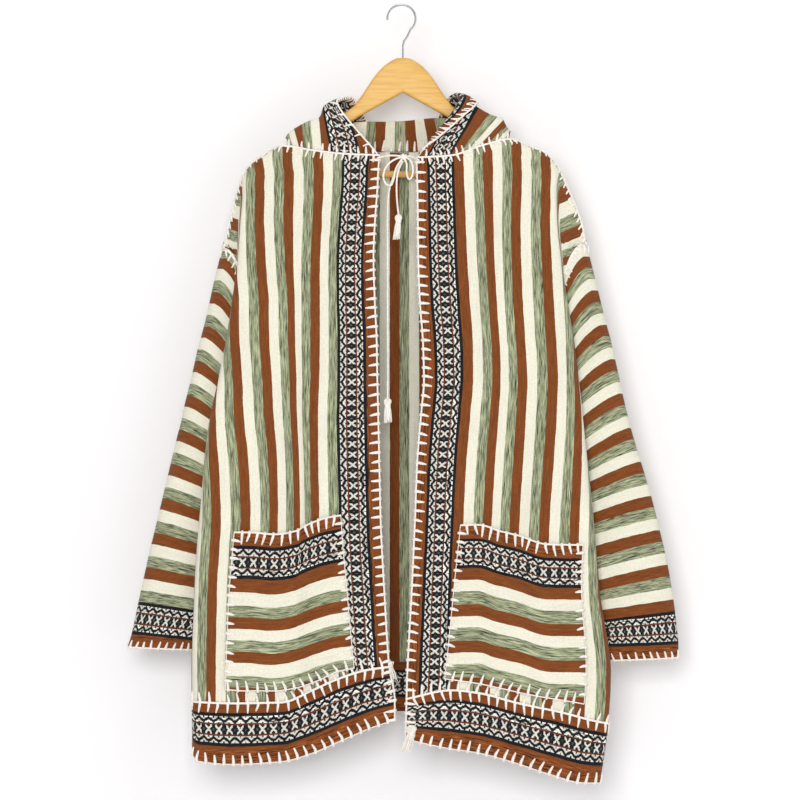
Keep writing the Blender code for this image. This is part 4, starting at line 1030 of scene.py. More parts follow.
@dataclass
class WovenWool(Finish):
    """Hand-woven wool with warp stripes and a picked-up band: matt, ribbed, unevenly dyed.

    The cloth's own map gives the pattern coordinate across and the distance along. Threads are
    drawn 0.9 mm wide, coarser than the real yarn, so that the steps of the pattern show.
    """

    order: Order = Order.GREEN_WHITE_RUST
    white: str = "#E3E0CD"
    rust: str = "#7A421C"
    green: str = "#8E9375"
    band: tuple[str, ...] = ("#D2D0C6", "#15161A", "#5E3020", "#46574B")
    thread: float = 0.9
    pick: float = 1.1

    def dress(self) -> None:
        """Draw stripes, band and edge strip, then the weave's relief."""
        across = self.node("SeparateXYZ", self.node("UVMap", uv_map="cloth"))
        u = self.math("MULTIPLY", across, 1 / MM)
        v = self.math("MULTIPLY", across.node.outputs[1], 1 / MM)
        slow = self.node("CombineXYZ", u, v, 0.0)
        sway = self.math("MULTIPLY_ADD", self.noise(slow, 0.055, 2.0, 0.5), 1.6, -0.8)
        column = self.math("SNAP", self.math("ADD", u, sway), self.thread)
        row = self.math("SNAP", v, self.pick)
        stripes = self.striped(column)
        fibre = self.noise(self.scaled(u, v, 1.6, 0.07, 3.0), 0.8, 2.0, 0.6)
        streaks = self.math("MULTIPLY_ADD", fibre, 4.8, -2.43)
        fleck = self.noise(self.node("CombineXYZ", u, v, 7.0), 0.45, 1.0, 0.5)
        fleck = self.math("MULTIPLY_ADD", fleck, 0.26, 0.87)
        strength = self.math("MULTIPLY_ADD", streaks, stripes.node.outputs["Alpha"], fleck)
        whole = stripes
        for end, colour in ((BAND_END, self.banded(column, row)), (STRIP, linear(self.rust))):
            inside = self.math("LESS_THAN", column, end)
            whole = self.node("Mix", inside, *[None] * 5, whole, colour, out=2, data_type="RGBA")
        tone = self.math("MULTIPLY_ADD", self.noise(slow, 0.012, 2.0, 0.5), 0.16, 0.92)
        shade = self.math("MULTIPLY", tone, strength)
        rib = self.math("SINE", self.math("MULTIPLY", u, math.tau / (2 * self.thread)))
        pick = self.math("SINE", self.math("MULTIPLY", v, math.tau / (2 * self.pick)))
        woven = self.math("MULTIPLY_ADD", pick, 0.5, rib)
        height = self.math("MULTIPLY_ADD", streaks, 0.6, woven)
        self.give({
            "Base Color": self.node("VectorMath", whole, None, None, shade, operation="SCALE"),
            "Normal": self.node("Bump", 0.35, 0.0004, None, height),
            "Roughness": 0.93,
            "Specular IOR Level": 0.15,
            "Sheen Weight": 0.08,
            "Sheen Roughness": 0.6,
        })

    def scaled(self, u: Socket, v: Socket, across: float, along: float, layer: float) -> Socket:
        """Place on the cloth, each way at its own scale."""
        sides = (self.math("MULTIPLY", u, across), self.math("MULTIPLY", v, along))
        return self.node("CombineXYZ", *sides, layer)

    def striped(self, column: Socket) -> Socket:
        """The three stripes in turn, with how strongly each wool is streaked as the alpha."""
        turns = self.math("MULTIPLY_ADD", column, 1 / PERIOD, -BAND_END / PERIOD)
        streaked = {"white": 0.06, "rust": 0.3, "green": 1.0}
        steps = []
        for index, name in enumerate(self.order.value):
            steps.append((index / 3, (*linear(getattr(self, name))[:3], streaked[name])))
        return self.ramp(self.math("FRACT", turns), steps, "CONSTANT")

    def banded(self, column: Socket, row: Socket) -> Socket:
        """Draw the band: crosses between lines, with a zigzag and a dark border on each side.

        Args:
            column: Pattern coordinate of a thread.
            row: Distance along the band of a pick.

        Returns:
            The band's colour.
        """
        width = BAND_END - STRIP
        part = self.math("MULTIPLY_ADD", column, 1 / width, -STRIP / width)
        out = self.math("ABSOLUTE", self.math("SUBTRACT", part, 0.5))
        phase = self.math("FRACT", self.math("MULTIPLY", row, 1 / REPEAT))
        far = self.math("ABSOLUTE", self.math("SUBTRACT", phase, 0.5))
        pinch = self.math("GREATER_THAN", far, 0.43)
        zigzag = self.math("COMPARE", out, self.math("MULTIPLY_ADD", far, -0.25, 0.36), 0.05)
        crossed = self.math("COMPARE", out, self.math("MULTIPLY", far, 0.42), 0.046)
        cross = self.math("MULTIPLY", crossed, self.math("LESS_THAN", far, 0.3))
        ground = self.math("SUBTRACT", self.math("LESS_THAN", out, 0.133), cross)
        dot = self.math("MULTIPLY", self.math("COMPARE", out, 0.37, 0.02), pinch)
        dark = self.math("GREATER_THAN", out, 0.405)
        for shape in (zigzag, ground, dot):
            dark = self.math("MAXIMUM", dark, shape)
        near = self.math("LESS_THAN", far, 0.07)
        seed = self.math("MULTIPLY", self.math("COMPARE", out, 0.21, 0.02), near)
        lined = self.math("MAXIMUM", self.math("COMPARE", out, 0.166, 0.028), seed)
        bead = self.math("MULTIPLY", self.math("LESS_THAN", out, 0.035), pinch)
        third = self.math("MULTIPLY", dark, 1 / 3)
        code = self.math("MAXIMUM", third, self.math("MULTIPLY", lined, 2 / 3))
        steps = list(zip((0.0, 0.2, 0.5, 0.85), map(linear, self.band)))
        return self.ramp(self.math("MAXIMUM", code, bead), steps, "CONSTANT")


@dataclass
class WoolYarn(Finish):
    """White plied wool yarn: soft, matt, slightly fuzzy, with a little grey painted shade in the
    hollows between its plies.
    """

    light: str = "#F8F2EA"
    # painted shade: the grey put in the low places between the plies, where the bump sinks
    shade: str = "#D8CFC4"

    def dress(self) -> None:
        """Mottle the yarn with painted shade in the low places of its relief, and raise its plies,
        about 1.5 mm long.
        """
        plies = self.noise(self.own_place(), 700.0, 3.0, 0.6)
        self.give({
            "Base Color": self.ramp(plies, [(0.32, linear(self.shade)), (0.6, linear(self.light))]),
            "Normal": self.node("Bump", 0.5, 0.0005, None, plies),
            "Roughness": 0.9,
            "Sheen Weight": 0.3,
        })


@dataclass
class PaleWood(Finish):
    """Clear-varnished pale pine: warm, with fine growth lines along the arms and a soft gloss."""

    light: str = "#D9AA52"
    grain: str = "#CE9C45"

    def dress(self) -> None:
        """Draw growth lines some 3 mm apart and fine pores along them."""
        drawn = self.node("Mapping", self.own_place(), None, None, (22.0, 160.0, 300.0))
        lines = self.noise(drawn, 1.0, 3.0, 0.55, None, 0.6)
        steps = [(0.35, linear(self.grain)), (0.58, linear(self.light))]
        self.give({
            "Base Color": self.ramp(lines, steps),
            "Normal": self.node("Bump", 0.15, 0.0003, None, lines),
            "Roughness": 0.5,
            "Coat Weight": 0.08,
            "Coat Roughness": 0.25,
        })


@dataclass
class ChromeWire(Finish):
    """Chromed steel wire: mirror-bright with faint drawing marks."""

    metal: str = "#C9CACC"

    def dress(self) -> None:
        """Vary the gloss a little along the wire."""
        marks = self.noise(self.own_place(), 260.0, 2.0, 0.5)
        self.give({
            "Roughness": self.node("MapRange", marks, 0.3, 0.7, 0.12, 0.3),
            "Normal": self.node("Bump", 0.08, 0.0002, None, marks),
            "Base Color": linear(self.metal),
            "Metallic": 1.0,
        })


@dataclass
class Plaster(Finish):
    """Matt white wall plaster with a faint float texture; it can be seen through from behind."""

    paint: str = "#F1F0F1"
    see_through: bool = False

    def dress(self) -> None:
        """Add the float's relief, about 12 mm across, and open the back of a wall."""
        float_marks = self.noise(self.own_place(), 38.0, 4.0, 0.55)
        self.give({
            "Normal": self.node("Bump", 0.12, 0.002, None, float_marks),
            "Base Color": linear(self.paint),
            "Roughness": 0.95,
        })
        if self.see_through:
            nodes = self.made.node_tree.nodes
            behind = self.node("NewGeometry").node.outputs["Backfacing"]
            clear = self.node("BsdfTransparent")
            both = self.node("MixShader", behind, nodes["Principled BSDF"].outputs[0], clear)
            self.fill(nodes["Material Output"].inputs[0], both)


GREEN_FIRST = WovenWool("woven wool, green stripe first", Order.GREEN_WHITE_RUST)
RUST_FIRST = WovenWool("woven wool, rust stripe first", Order.RUST_WHITE_GREEN)
RUST_GREEN = WovenWool("woven wool, rust and green stripes first", Order.RUST_GREEN_WHITE)
YARN = WoolYarn("white plied wool yarn")
WOOD = PaleWood("clear-varnished pine")
CHROME = ChromeWire("chromed steel wire")


@dataclass(frozen=True)
class Stitch:
    """Sizes of one blanket stitch, from the edge yarn inward."""

    pitch: float = 12.3
    reach: float = 11.5
    root: float = 2.2
    tip: float = 0.85
    lean: float = 1.8
    zigzag: bool = False


# A stitch's part of the way in, height over the face and share of its root's thickness
STITCH_SHAPE = ((0.03, 0.7, 1.0), (0.35, 0.75, 0.95), (0.7, 0.5, 0.75), (1.0, 0.0, 0.4))


@dataclass
class YarnWork:
    """Strands of white yarn that are gathered into one piece."""

    name: str
    seed: int = 3
    strands: list[tuple[np.ndarray, list[float]]] = field(default_factory=list)
    rng: np.random.Generator = field(init=False)

    def __post_init__(self) -> None:
        """Seed the unevenness of the sewing."""
        self.rng = np.random.default_rng(self.seed)

    def strand(self, line: np.ndarray, radius: float) -> None:
        """Add a strand of one thickness."""
        self.strands.append((line, [radius] * len(line)))

    def cord(
        self,
        cloth: Cloth,
        edge: Edge,
        span: tuple[float, float] = (0.0, 1.0),
        radius: float = 1.45,
        lift: float = 0.6,
        swing: float = 0.35,
    ) -> None:
        """Lay a yarn along a cloth's edge.

        Args:
            cloth: The cloth.
            edge: Which edge.
            span: Where it starts and stops, as parts of the edge.
            radius: Half the yarn's thickness.
            lift: Height of its middle over the face.
            swing: How far the stitches pull it in and out.
        """
        line = []
        ts = np.linspace(*span, 2 + int(140 * abs(span[1] - span[0])))
        for index, t in enumerate(ts):
            point, normal = cloth.on_edge(edge, t)
            pull = lift + swing * math.sin(index * 2.1)
            line.append(point + normal * pull * MM)
        self.strand(np.array(line), radius)

    def blanket(
        self,
        cloth: Cloth,
        edge: Edge,
        span: tuple[float, float] = (0.0, 1.0),
        stitch: Stitch = Stitch(),
        wraps: bool = True,
        inside: bool = False,
    ) -> None:
        """Sew blanket stitches along a cloth's edge.

        Args:
            cloth: The cloth.
            edge: Which edge.
            span: Where they start and stop, as parts of the edge.
            stitch: Their sizes.
            wraps: Whether the yarn comes round a free edge.
            inside: Whether they show on the cloth's inner face.
        """
        ts = np.linspace(*span, 300)
        line = np.array([cloth.on_edge(edge, t)[0] for t in ts])
        steps = np.linalg.norm(np.diff(line, axis=0), axis=1) / MM
        lengths = np.concatenate([[0.0], np.cumsum(steps)])
        rate = (ts[-1] - ts[0]) / lengths[-1]
        place = stitch.pitch * 0.5
        way = 1.0
        while place < lengths[-1]:
            t = float(np.interp(place, lengths, ts))
            lean = way * stitch.lean * self.rng.uniform(0.2, 1.6)
            self.one(cloth, edge, t, rate, lean, stitch, wraps, inside)
            place += stitch.pitch * self.rng.uniform(0.9, 1.1)
            way = -way if stitch.zigzag else way

    def track(
        self, cloth: Cloth, edge: Edge, t: float, slip: float, reach: float
    ) -> tuple[np.ndarray, np.ndarray, list[float]]:
        """Follow a stitch's way inward from an edge.

        Args:
            cloth: The cloth.
            edge: Which edge.
            t: Part of the way along it.
            slip: How far along the edge the way leans, as a part of it.
            reach: Length of the way in millimetres.

        Returns:
            The points, normals and lengths.
        """
        points, normals, lengths = [], [], [0.0]
        index = 0.0
        while lengths[-1] < reach and index < 14:
            part = min(1.0, max(0.0, t + slip * lengths[-1] / reach))
            row, col, row_step, col_step = cloth.step_from(edge, part)
            point, normal = cloth.sample(row + row_step * index, col + col_step * index)
            if points:
                lengths.append(lengths[-1] + float(np.linalg.norm(point - points[-1])) / MM)
            points.append(point)
            normals.append(normal)
            index += 0.5
        return np.array(points), np.array(normals), lengths

    def one(
        self,
        cloth: Cloth,
        edge: Edge,
        t: float,
        rate: float,
        lean: float,
        stitch: Stitch,
        wraps: bool,
        inside: bool,
    ) -> None:
        """Sew one stitch, square to the edge but for its lean.

        Args:
            cloth: The cloth.
            edge: Which edge.
            t: Part of the way along it.
            rate: Part of the edge in a millimetre.
            lean: How far the stitch leans, in millimetres.
            stitch: Its sizes.
            wraps: Whether the yarn comes round a free edge.
            inside: Whether it shows on the cloth's inner face.
        """
        reach = stitch.reach * self.rng.uniform(0.86, 1.12)
        places, ups, lengths = self.track(cloth, edge, t, 0.0, reach)
        if len(lengths) < 3 or lengths[-1] <= 0:
            return
        near = [cloth.on_edge(edge, t + step)[0] for step in (-0.002, 0.002)]
        along = (near[1] - near[0]) / max(float(np.linalg.norm(near[1] - near[0])), 1e-9)
        drift = float(np.dot(places[-1] - places[0], along)) / MM
        slip = rate * (lean - min(8.0, max(-8.0, drift)))
        places, ups, lengths = self.track(cloth, edge, t, slip, reach)
        inward = (places[1] - places[0]) / max(float(np.linalg.norm(places[1] - places[0])), 1e-9)
        base = -CLOTH if inside else 0.0
        face = -1.0 if inside else 1.0
        line, radii = [], []
        if wraps:
            line.append(places[0] + ups[0] * (base - face * 2.2) * MM - inward * 0.2 * MM)
            line.append(places[0] - inward * 1.1 * MM + ups[0] * (base - face * 0.4) * MM)
            radii += [stitch.root * 0.8, stitch.root]
        for part, lift, thick in STITCH_SHAPE:
            at = reach * part
            point = np.array([np.interp(at, lengths, places[:, axis]) for axis in range(3)])
            up = np.array([np.interp(at, lengths, ups[:, axis]) for axis in range(3)])
            line.append(point + up * (base + face * lift) * MM)
            radii.append(max(stitch.tip, stitch.root * thick))
        self.strands.append((np.array(line), radii))

    def piece(self, finish: Finish) -> bpy.types.Object:
        """Make one curve object of all the strands."""
        curve = bpy.data.curves.new(self.name, "CURVE")
        curve.dimensions = "3D"
        curve.bevel_depth = MM
        curve.bevel_resolution = 1
        curve.use_fill_caps = True
        for points, radii in self.strands:
            spline = curve.splines.new("POLY")
            spline.points.add(len(points) - 1)
            for target, point, radius in zip(spline.points, points, radii):
                target.co = (*point, 1.0)
                target.radius = radius
        return add_object(self.name, curve, finish)


def panel(
    name: str,
    side: Side,
    form_point: Callable[[float, float], Point],
    widths: np.ndarray,
    heights: Callable[[float], np.ndarray],
    pattern: Callable[[float, float, float], tuple[float, float]],
    onward: tuple[float, float] = (1.0, 0.0),
) -> Cloth:
    """Lay a cloth on the form, one column for each cloth distance.

    Args:
        name: The piece's name.
        side: The garment's half.
        form_point: The form's point at a cloth distance and height, with x outward.
        widths: Cloth distance of each column.
        heights: Heights of a column's points, from its cloth distance.
        pattern: Pattern coordinate and distance along at (w, z, part of the way down).
        onward: How both go on along the extra cloth round the side, below the sleeve.

    Returns:
        The cloth.
    """
    columns, ws, zs, uvs = [], [], [], []
    for w in widths:
        column = heights(float(w))
        count = len(column) - 1
        points = [form_point(float(w), float(z)) for z in column]
        columns.append([(side.value * x, y, z) for x, y, z in points])
        ws.append([w] * len(column))
        zs.append(column)
        uvs.append([pattern(float(w), float(z), i / count) for i, z in enumerate(column)])
    points = np.array(columns).transpose(1, 0, 2) * MM
    flat = np.array(uvs).transpose(1, 0, 2) * MM
    steps = np.linalg.norm(np.diff(points, axis=1), axis=2)
    extra = np.maximum(0.0, steps - STRETCH * np.diff(widths) * MM).cumsum(axis=1)
    low = np.clip((SIDE_FROM_Z - np.array(zs).T[:, 1:]) / SIDE_FADE, 0, 1)
    flat[:, 1:] += (extra * low)[..., None] * np.array(onward)
    facing = (0.0, 1.0 if form_point.__name__ == "back_point" else -1.0, 0.0)
    return Cloth(name, points, np.array(ws).T, np.array(zs).T, flat, facing)


def draw_in(cloth: Cloth, column: int) -> None:
    """Draw a side column back from the seam's line."""
    inner = column + 1 if column == 0 else column - 1
    towards = cloth.points[:, inner] - cloth.points[:, column]
    lengths = np.maximum(np.linalg.norm(towards, axis=1, keepdims=True), 1e-9)
    cloth.points[:, column] += towards / lengths * np.minimum(lengths * 0.8, SIDE_INSET * MM)


TOP_STEPS = (0.0, 1.2, 2.6, 4.4, 7.0, 10.5, 15.0, 20.5, 27.0, 34.0)


def hanging_rows(top: float, bottom: float, rows: int) -> np.ndarray:
    """Heights that start close together below the top edge and go on evenly to the bottom."""
    close = top - np.array(TOP_STEPS)
    return np.concatenate([close, np.linspace(close[-1], bottom, rows + 1)[1:]])


# What a cloth holds for each of its points
PARTS = ("points", "w", "z", "pattern")


def joined(name: str, first: Cloth, second: Cloth, outward: Point) -> Cloth:
    """Join two cloths, where the second one's first column is the first one's last."""
    pairs = [(getattr(first, part), getattr(second, part)) for part in PARTS]
    return Cloth(name, *[np.concatenate([a, b[:, 1:]], axis=1) for a, b in pairs], outward)


@dataclass
class Maker:
    """Builds cloths and keeps each under its name."""

    cloths: dict[str, Cloth]

    def dress(
        self,
        cloth: Cloth,
        finish: Finish,
        slot: str,
        node: str,
        cut: tuple[float, float],
        holder: str,
        weld: bool = False,
    ) -> bpy.types.Object:
        """Make a cloth's piece in place of its CAD node.

        Args:
            cloth: The cloth.
            finish: Its finish.
            slot: The record's material slot.
            node: The CAD node that it stands for.
            cut: Width and length of the whole cut, in metres.
            holder: Not used.
            weld: Whether edges that lie on each other are joined.

        Returns:
            The piece.
        """
        self.cloths[cloth.name] = cloth
        made = keep(cloth.piece(finish, weld), slot, node)
        area = min(round(cloth.area(), 4), cut[0] * cut[1])
        return made


@dataclass
class Body(Maker):
    """Fronts and back of the garment, with their hem strips and patch pockets."""

    columns: int = 88
    rows: int = 112
    hem_rows: int = 14
    pocket_lift: float = 3.6
    pocket_bulge: float = 2.2
    pocket_grid: tuple[int, int] = (49, 45)
    pocket_along: float = 100.0
    hem_along: float = 300.0
    hem_repeat: float = 12.5
    back_start: float = 505.5
    fan_slope: float = 0.4
    drawn_at: tuple[float, ...] = (48, 62, 73, 94, 111, 136, 161, 199, 262)
    drawn: tuple[tuple[float, tuple[float, ...]], ...] = (
        (200, (0, 0, 0, -1.5, -3, -4, -4.6, -4.6, -4.6)),
        (293, (1, 4, 5, 5, 5.5, 5.5, 6, 6, 6)),
        (385, (0, 3, 3.9, 4, 11, 11.5, 11.5, 11.5, 11.5)),
        (671, (0, 0, 0, 0, 4.7, 6.3, 11, 15, 19)),
        (900, (0, 0, 0, 0, 4, 6, 9, 14, 18)),
    )

    creases: dict[Side, tuple[Crease, ...]] = field(default_factory=lambda: {
        Side.LEFT: creased(
            (150, -215, 96, -420, 13, 3.2, 8), (128, -212, 60, -330, 10, -2.4, 6),
            (118, -380, 112, -700, 15, 3.6, -8), (84, -360, 90, -640, 12, -2.6, 5),
            (103, -290, 106, -760, 6, -3.0), (160, -300, 176, -560, 14, 2.4, -8),
            (66, -560, 60, -940, 14, 3.0, 5), (150, -640, 146, -985, 16, 3.4, 6),
            (108, -700, 112, -985, 13, -3.2, -4), (205, -620, 200, -985, 13, -2.6, 5),
            (232, -480, 226, -900, 11, 2.2, 4),
        ),
        Side.RIGHT: creased(
            (104, -262, 60, -440, 12, 4.2, 9), (122, -270, 78, -430, 9, -3.4, 8),
            (150, -240, 128, -470, 14, 2.8, -9), (60, -250, 50, -420, 10, -2.0, 4),
            (92, -430, 96, -720, 15, 3.2, 6), (140, -470, 128, -760, 13, -2.8, -6),
            (178, -420, 184, -720, 13, 2.8, 5), (60, -600, 66, -960, 13, -2.4, 4),
            (110, -720, 104, -985, 15, 3.4, -5), (168, -700, 176, -1000, 15, 3.0, 6),
            (214, -640, 206, -1000, 12, -2.8, 4), (238, -520, 236, -930, 10, 2.0, 3),
        ),
    })
    back_creases: tuple[Crease, ...] = creased(
        (-150, -215, -100, -520, 16, 3.4, 8), (-118, -230, -60, -430, 13, -3.0, -6),
        (152, -210, 112, -500, 16, 3.2, -8), (120, -230, 66, -420, 13, -2.8, 6),
        (-20, -300, -32, -820, 18, -3.4, 8), (46, -420, 40, -980, 18, 3.6, -7),
        (-84, -480, -96, -985, 17, 3.6, 7), (96, -520, 104, -990, 15, -3.2, 6),
        (-150, -560, -146, -985, 15, -3.0, -5), (156, -480, 160, -1000, 17, 3.4, 6),
        (-200, -420, -206, -985, 14, 2.8, 5), (208, -560, 200, -1000, 13, -2.8, 4),
    )

    def build(self) -> None:
        """Build every cloth of the body and dress it."""
        for side in Side:
            self.build_front(side)
            self.build_hem(side)
            self.build_pocket(side)
        self.build_back()
        self.build_back_hem()

    def build_front(self, side: Side) -> None:
        """Build one front panel, with its placket band along the opening.

        Args:
            side: The garment's half.
        """
        form = FORMS[side]

        def heights(w: float) -> np.ndarray:
            """Heights of a column, from the top edge to the hem seam."""
            top = form.top.read("z", w) - SEAM_HALF * (1 - form.shoulder_part(w))
            return hanging_rows(top, form.hem.read("seam_z", w) + SEAM_HALF, self.rows)

        def pattern(w: float, z: float, _: float) -> tuple[float, float]:
            """The band runs along the opening and the stripes run down."""
            across, along = self.fanned(form, w, z)
            return across + (self.drawn_in(w, z) if side is Side.LEFT else 0.0), along

        widths = np.linspace(0, FRONT_WIDTH, self.columns + 1)
        cloth = panel(side.named("front_cloth"), side, form.front_point, widths, heights, pattern)
        self.close_ridge(cloth, form, widths, -1, 0.0)
        draw_in(cloth, -1)
        cloth.press(self.creases[side], 30)
        finish = GREEN_FIRST if side is Side.LEFT else RUST_FIRST
        cut = (FRONT_WIDTH * MM, 0.76)
        self.dress(cloth, finish, "striped_wool", side.named("front_panel"), cut, "hanger_arms")

    def fanned(self, form: HalfForm, w: float, z: float) -> tuple[float, float]:
        """Pattern place on a front, whose stripes turn across the dropped shoulder behind its fold.

        Args:
            form: The garment's half.
            w: Cloth distance from the opening.
            z: Height.

        Returns:
            Pattern coordinate, and distance along the stripe.
        """
        fold_w = form.front.read("fold_w", z)
        if w <= fold_w + 2 or z < form.sleeve.read("inner_z", 0):
            return w, -z - ALONG_START
        lowest = form.sleeve.read("outer_z", 0)
        edge_z = z + self.fan_slope * max(0.0, form.upper_end(z)[1] - form.front_point(w, z)[0])
        edge_w = form.shoulder.read("w", edge_z, "z") + max(0.0, lowest - edge_z)
        part = smooth_step(fold_w + 2, fold_w + 9, w)
        return w + (edge_w - w) * part, (-z - ALONG_START) * (1 - part) + w * part

    def drawn_in(self, w: float, z: float) -> float:
        """How much more of the left front's stripes lies inside w, where a tuck draws them in."""
        shifts = [np.interp(w, self.drawn_at, row) for _, row in self.drawn]
        return float(np.interp(-z, [depth for depth, _ in self.drawn], shifts))

    def close_ridge(
        self, cloth: Cloth, form: HalfForm, widths: np.ndarray, facing: int, shift: float
    ) -> None:
        """Bring a panel's shoulder edge up to the ridge that front and back share.

        Args:
            cloth: The panel.
            form: The garment's half.
            widths: Cloth distances of the panel's columns, from its middle or opening.
            facing: -1 for a front and 1 for the back.
            shift: Cloth distance of the front's opening in the panel's own measure.
        """
        for column, w in enumerate(widths):
            part = form.shoulder_part(abs(w) - shift)
            if part > 0:
                ridge_x = form.side.value * form.top.read("x", abs(w) - shift) * MM
                point = cloth.points[0, column]
                point[0] += part * (ridge_x - point[0])
                point[1] += part * (facing * (SEAM_HALF + 0.8) * MM - point[1])

    def build_hem(self, side: Side) -> None:
        """Build the banded hem strip below a front panel.

        Args:
            side: The garment's half.
        """
        form = FORMS[side]

        def heights(w: float) -> np.ndarray:
            """Heights of a column, from the seam to the lower edge."""
            seam = form.hem.read("seam_z", w) - SEAM_HALF
            return np.linspace(seam, form.hem.read("bottom_z", w), self.hem_rows + 1)

        widths = np.linspace(0, FRONT_WIDTH, self.columns + 1)
        name, onward = side.named("hem_cloth"), (0.0, REPEAT / self.hem_repeat)
        cloth = panel(name, side, form.front_point, widths, heights, self.hem_pattern, onward)
        draw_in(cloth, -1)
        cloth.press(self.creases[side])
        node, holder = side.named("hem_strip"), side.named("front_cloth")
        self.dress(cloth, RUST_FIRST, "patterned_wool", node, (FRONT_WIDTH * MM, 0.085), holder)

    def hem_pattern(self, w: float, z: float, part: float) -> tuple[float, float]:
        """The band runs along the strip, between a narrow rust strip above and a wide one below."""
        across = np.interp(part, [0.0, 0.17, 0.72, 1.0], [60.5, BAND_END, STRIP, 0.0])
        return float(across), (w + self.hem_along) * REPEAT / self.hem_repeat

    def build_pocket(self, side: Side) -> None:
        """Build a patch pocket on the creased front, its stripes level.

        Args:
            side: The garment's half.
        """
        table = POCKET_TABLES[side]
        front = self.cloths[side.named("front_cloth")]
        inner, outer = POCKET_SIDES[side]
        places = [0.0, STRIP, BAND_END, *[BAND_END + STRIPE * i for i in range(1, 11)]]
        points, rows = [], []
        rows_down, columns_across = self.pocket_grid
        for down in np.linspace(0, 1, rows_down):
            line, row = [], []
            first, last = np.interp(down, (0, 1), inner), np.interp(down, (0, 1), outer)
            for w in np.linspace(first, last, columns_across):
                top, bottom = table.read("top_z", w), table.read("bottom_z", w)
                z = top + (bottom - top) * down
                point, normal = front.sample(*front.find(w, z))
                across = (w - first) / (last - first)
                bulge = self.pocket_bulge * math.sin(math.pi * across) * math.sin(math.pi * down)
                line.append(point + normal * (self.pocket_lift + bulge) * MM)
                level = float(np.interp((top - z), POCKET_LEVELS[side], places))
                along = (w + self.pocket_along) * REPEAT / self.hem_repeat * MM
                row.append((w, z, level * MM, along))
            points.append(line)
            rows.append(row)
        flat = np.array(rows)
        maps = (flat[..., 0], flat[..., 1], flat[..., 2:])
        cloth = Cloth(side.named("pocket_cloth"), np.array(points), *maps, (0.0, -1.0, 0.0))
        cut = (max(b - a for a, b in zip(inner, outer)) * MM, 0.207)
        node, holder = side.named("pocket"), side.named("front_cloth")
        self.dress(cloth, RUST_FIRST, "striped_wool", node, cut, holder)

    def lay_back(
        self,
        name: str,
        heights: Callable[[Side, float], np.ndarray],
        pattern: Callable[[Side, float, float, float], tuple[float, float]],
        onward: tuple[float, float],
        ridge: bool = False,
    ) -> Cloth:
        """Lay a cloth of the back as two halves, which share their middle column.

        Args:
            name: The piece's name.
            heights: Heights of a column's points, from the half and its cloth distance.
            pattern: Pattern coordinate and distance along at (half, w, z, part of the way down).
            onward: How both go on along the extra cloth round the right side.
            ridge: Whether the top edge comes up to the shoulders' ridge.

        Returns:
            The cloth.
        """
        widths = np.linspace(0, FRONT_WIDTH + BACK_SHIFT, self.columns + 9)
        halves = {}
        for side in Side:
            way = tuple(side.value * step for step in onward)
            point, rows = FORMS[side].back_point, partial(heights, side)
            half = panel("half", side, point, widths, rows, partial(pattern, side), way)
            if ridge:
                self.close_ridge(half, FORMS[side], widths, 1, BACK_SHIFT)
            half.w *= side.value
            halves[side] = half
        left = halves[Side.LEFT].flipped()
        cloth = joined(name, left, halves[Side.RIGHT], (0.0, 1.0, 0.0))
        draw_in(cloth, 0)
        draw_in(cloth, -1)
        return cloth

    def build_back(self) -> None:
        """Build the back panel, striped all over, with its stripes running down."""

        def heights(side: Side, w: float) -> np.ndarray:
            """Heights of a column, from the top edge to the hem seam."""
            form = FORMS[side]
            top = form.back_top(w) - SEAM_HALF * (1 - form.shoulder_part(w - BACK_SHIFT))
            return hanging_rows(top, edge_of_back("seam_z", side, w) + SEAM_HALF, self.rows)

        def pattern(side: Side, w: float, z: float, _: float) -> tuple[float, float]:
            """Stripes in even turns across the back, set by the one at its middle."""
            return self.back_start + side.value * w, -z - ALONG_START

        cloth = self.lay_back("back_cloth", heights, pattern, (1.0, 0.0), ridge=True)
        cloth.press(self.back_creases, 30)
        cut = (2 * (FRONT_WIDTH + BACK_SHIFT) * MM, 0.75)
        self.dress(cloth, GREEN_FIRST, "striped_wool", "back_panel", cut, "hanger_arms")

    def build_back_hem(self) -> None:
        """Build the banded hem strip below the back."""

        def heights(side: Side, w: float) -> np.ndarray:
            """Heights of a column, from the seam to the lower edge."""
            seam = edge_of_back("seam_z", side, w) - SEAM_HALF
            return np.linspace(seam, edge_of_back("bottom_z", side, w), self.hem_rows + 1)

        def pattern(side: Side, w: float, z: float, part: float) -> tuple[float, float]:
            """The front strips' pattern, run across both halves."""
            return self.hem_pattern(side.value * w, z, part)

        cloth = self.lay_back("hem_cloth_back", heights, pattern, (0.0, REPEAT / self.hem_repeat))
        cloth.press(self.back_creases)
        cut = (2 * (FRONT_WIDTH + BACK_SHIFT) * MM, 0.08)
        self.dress(cloth, RUST_FIRST, "patterned_wool", "hem_strip_back", cut, "back_cloth")


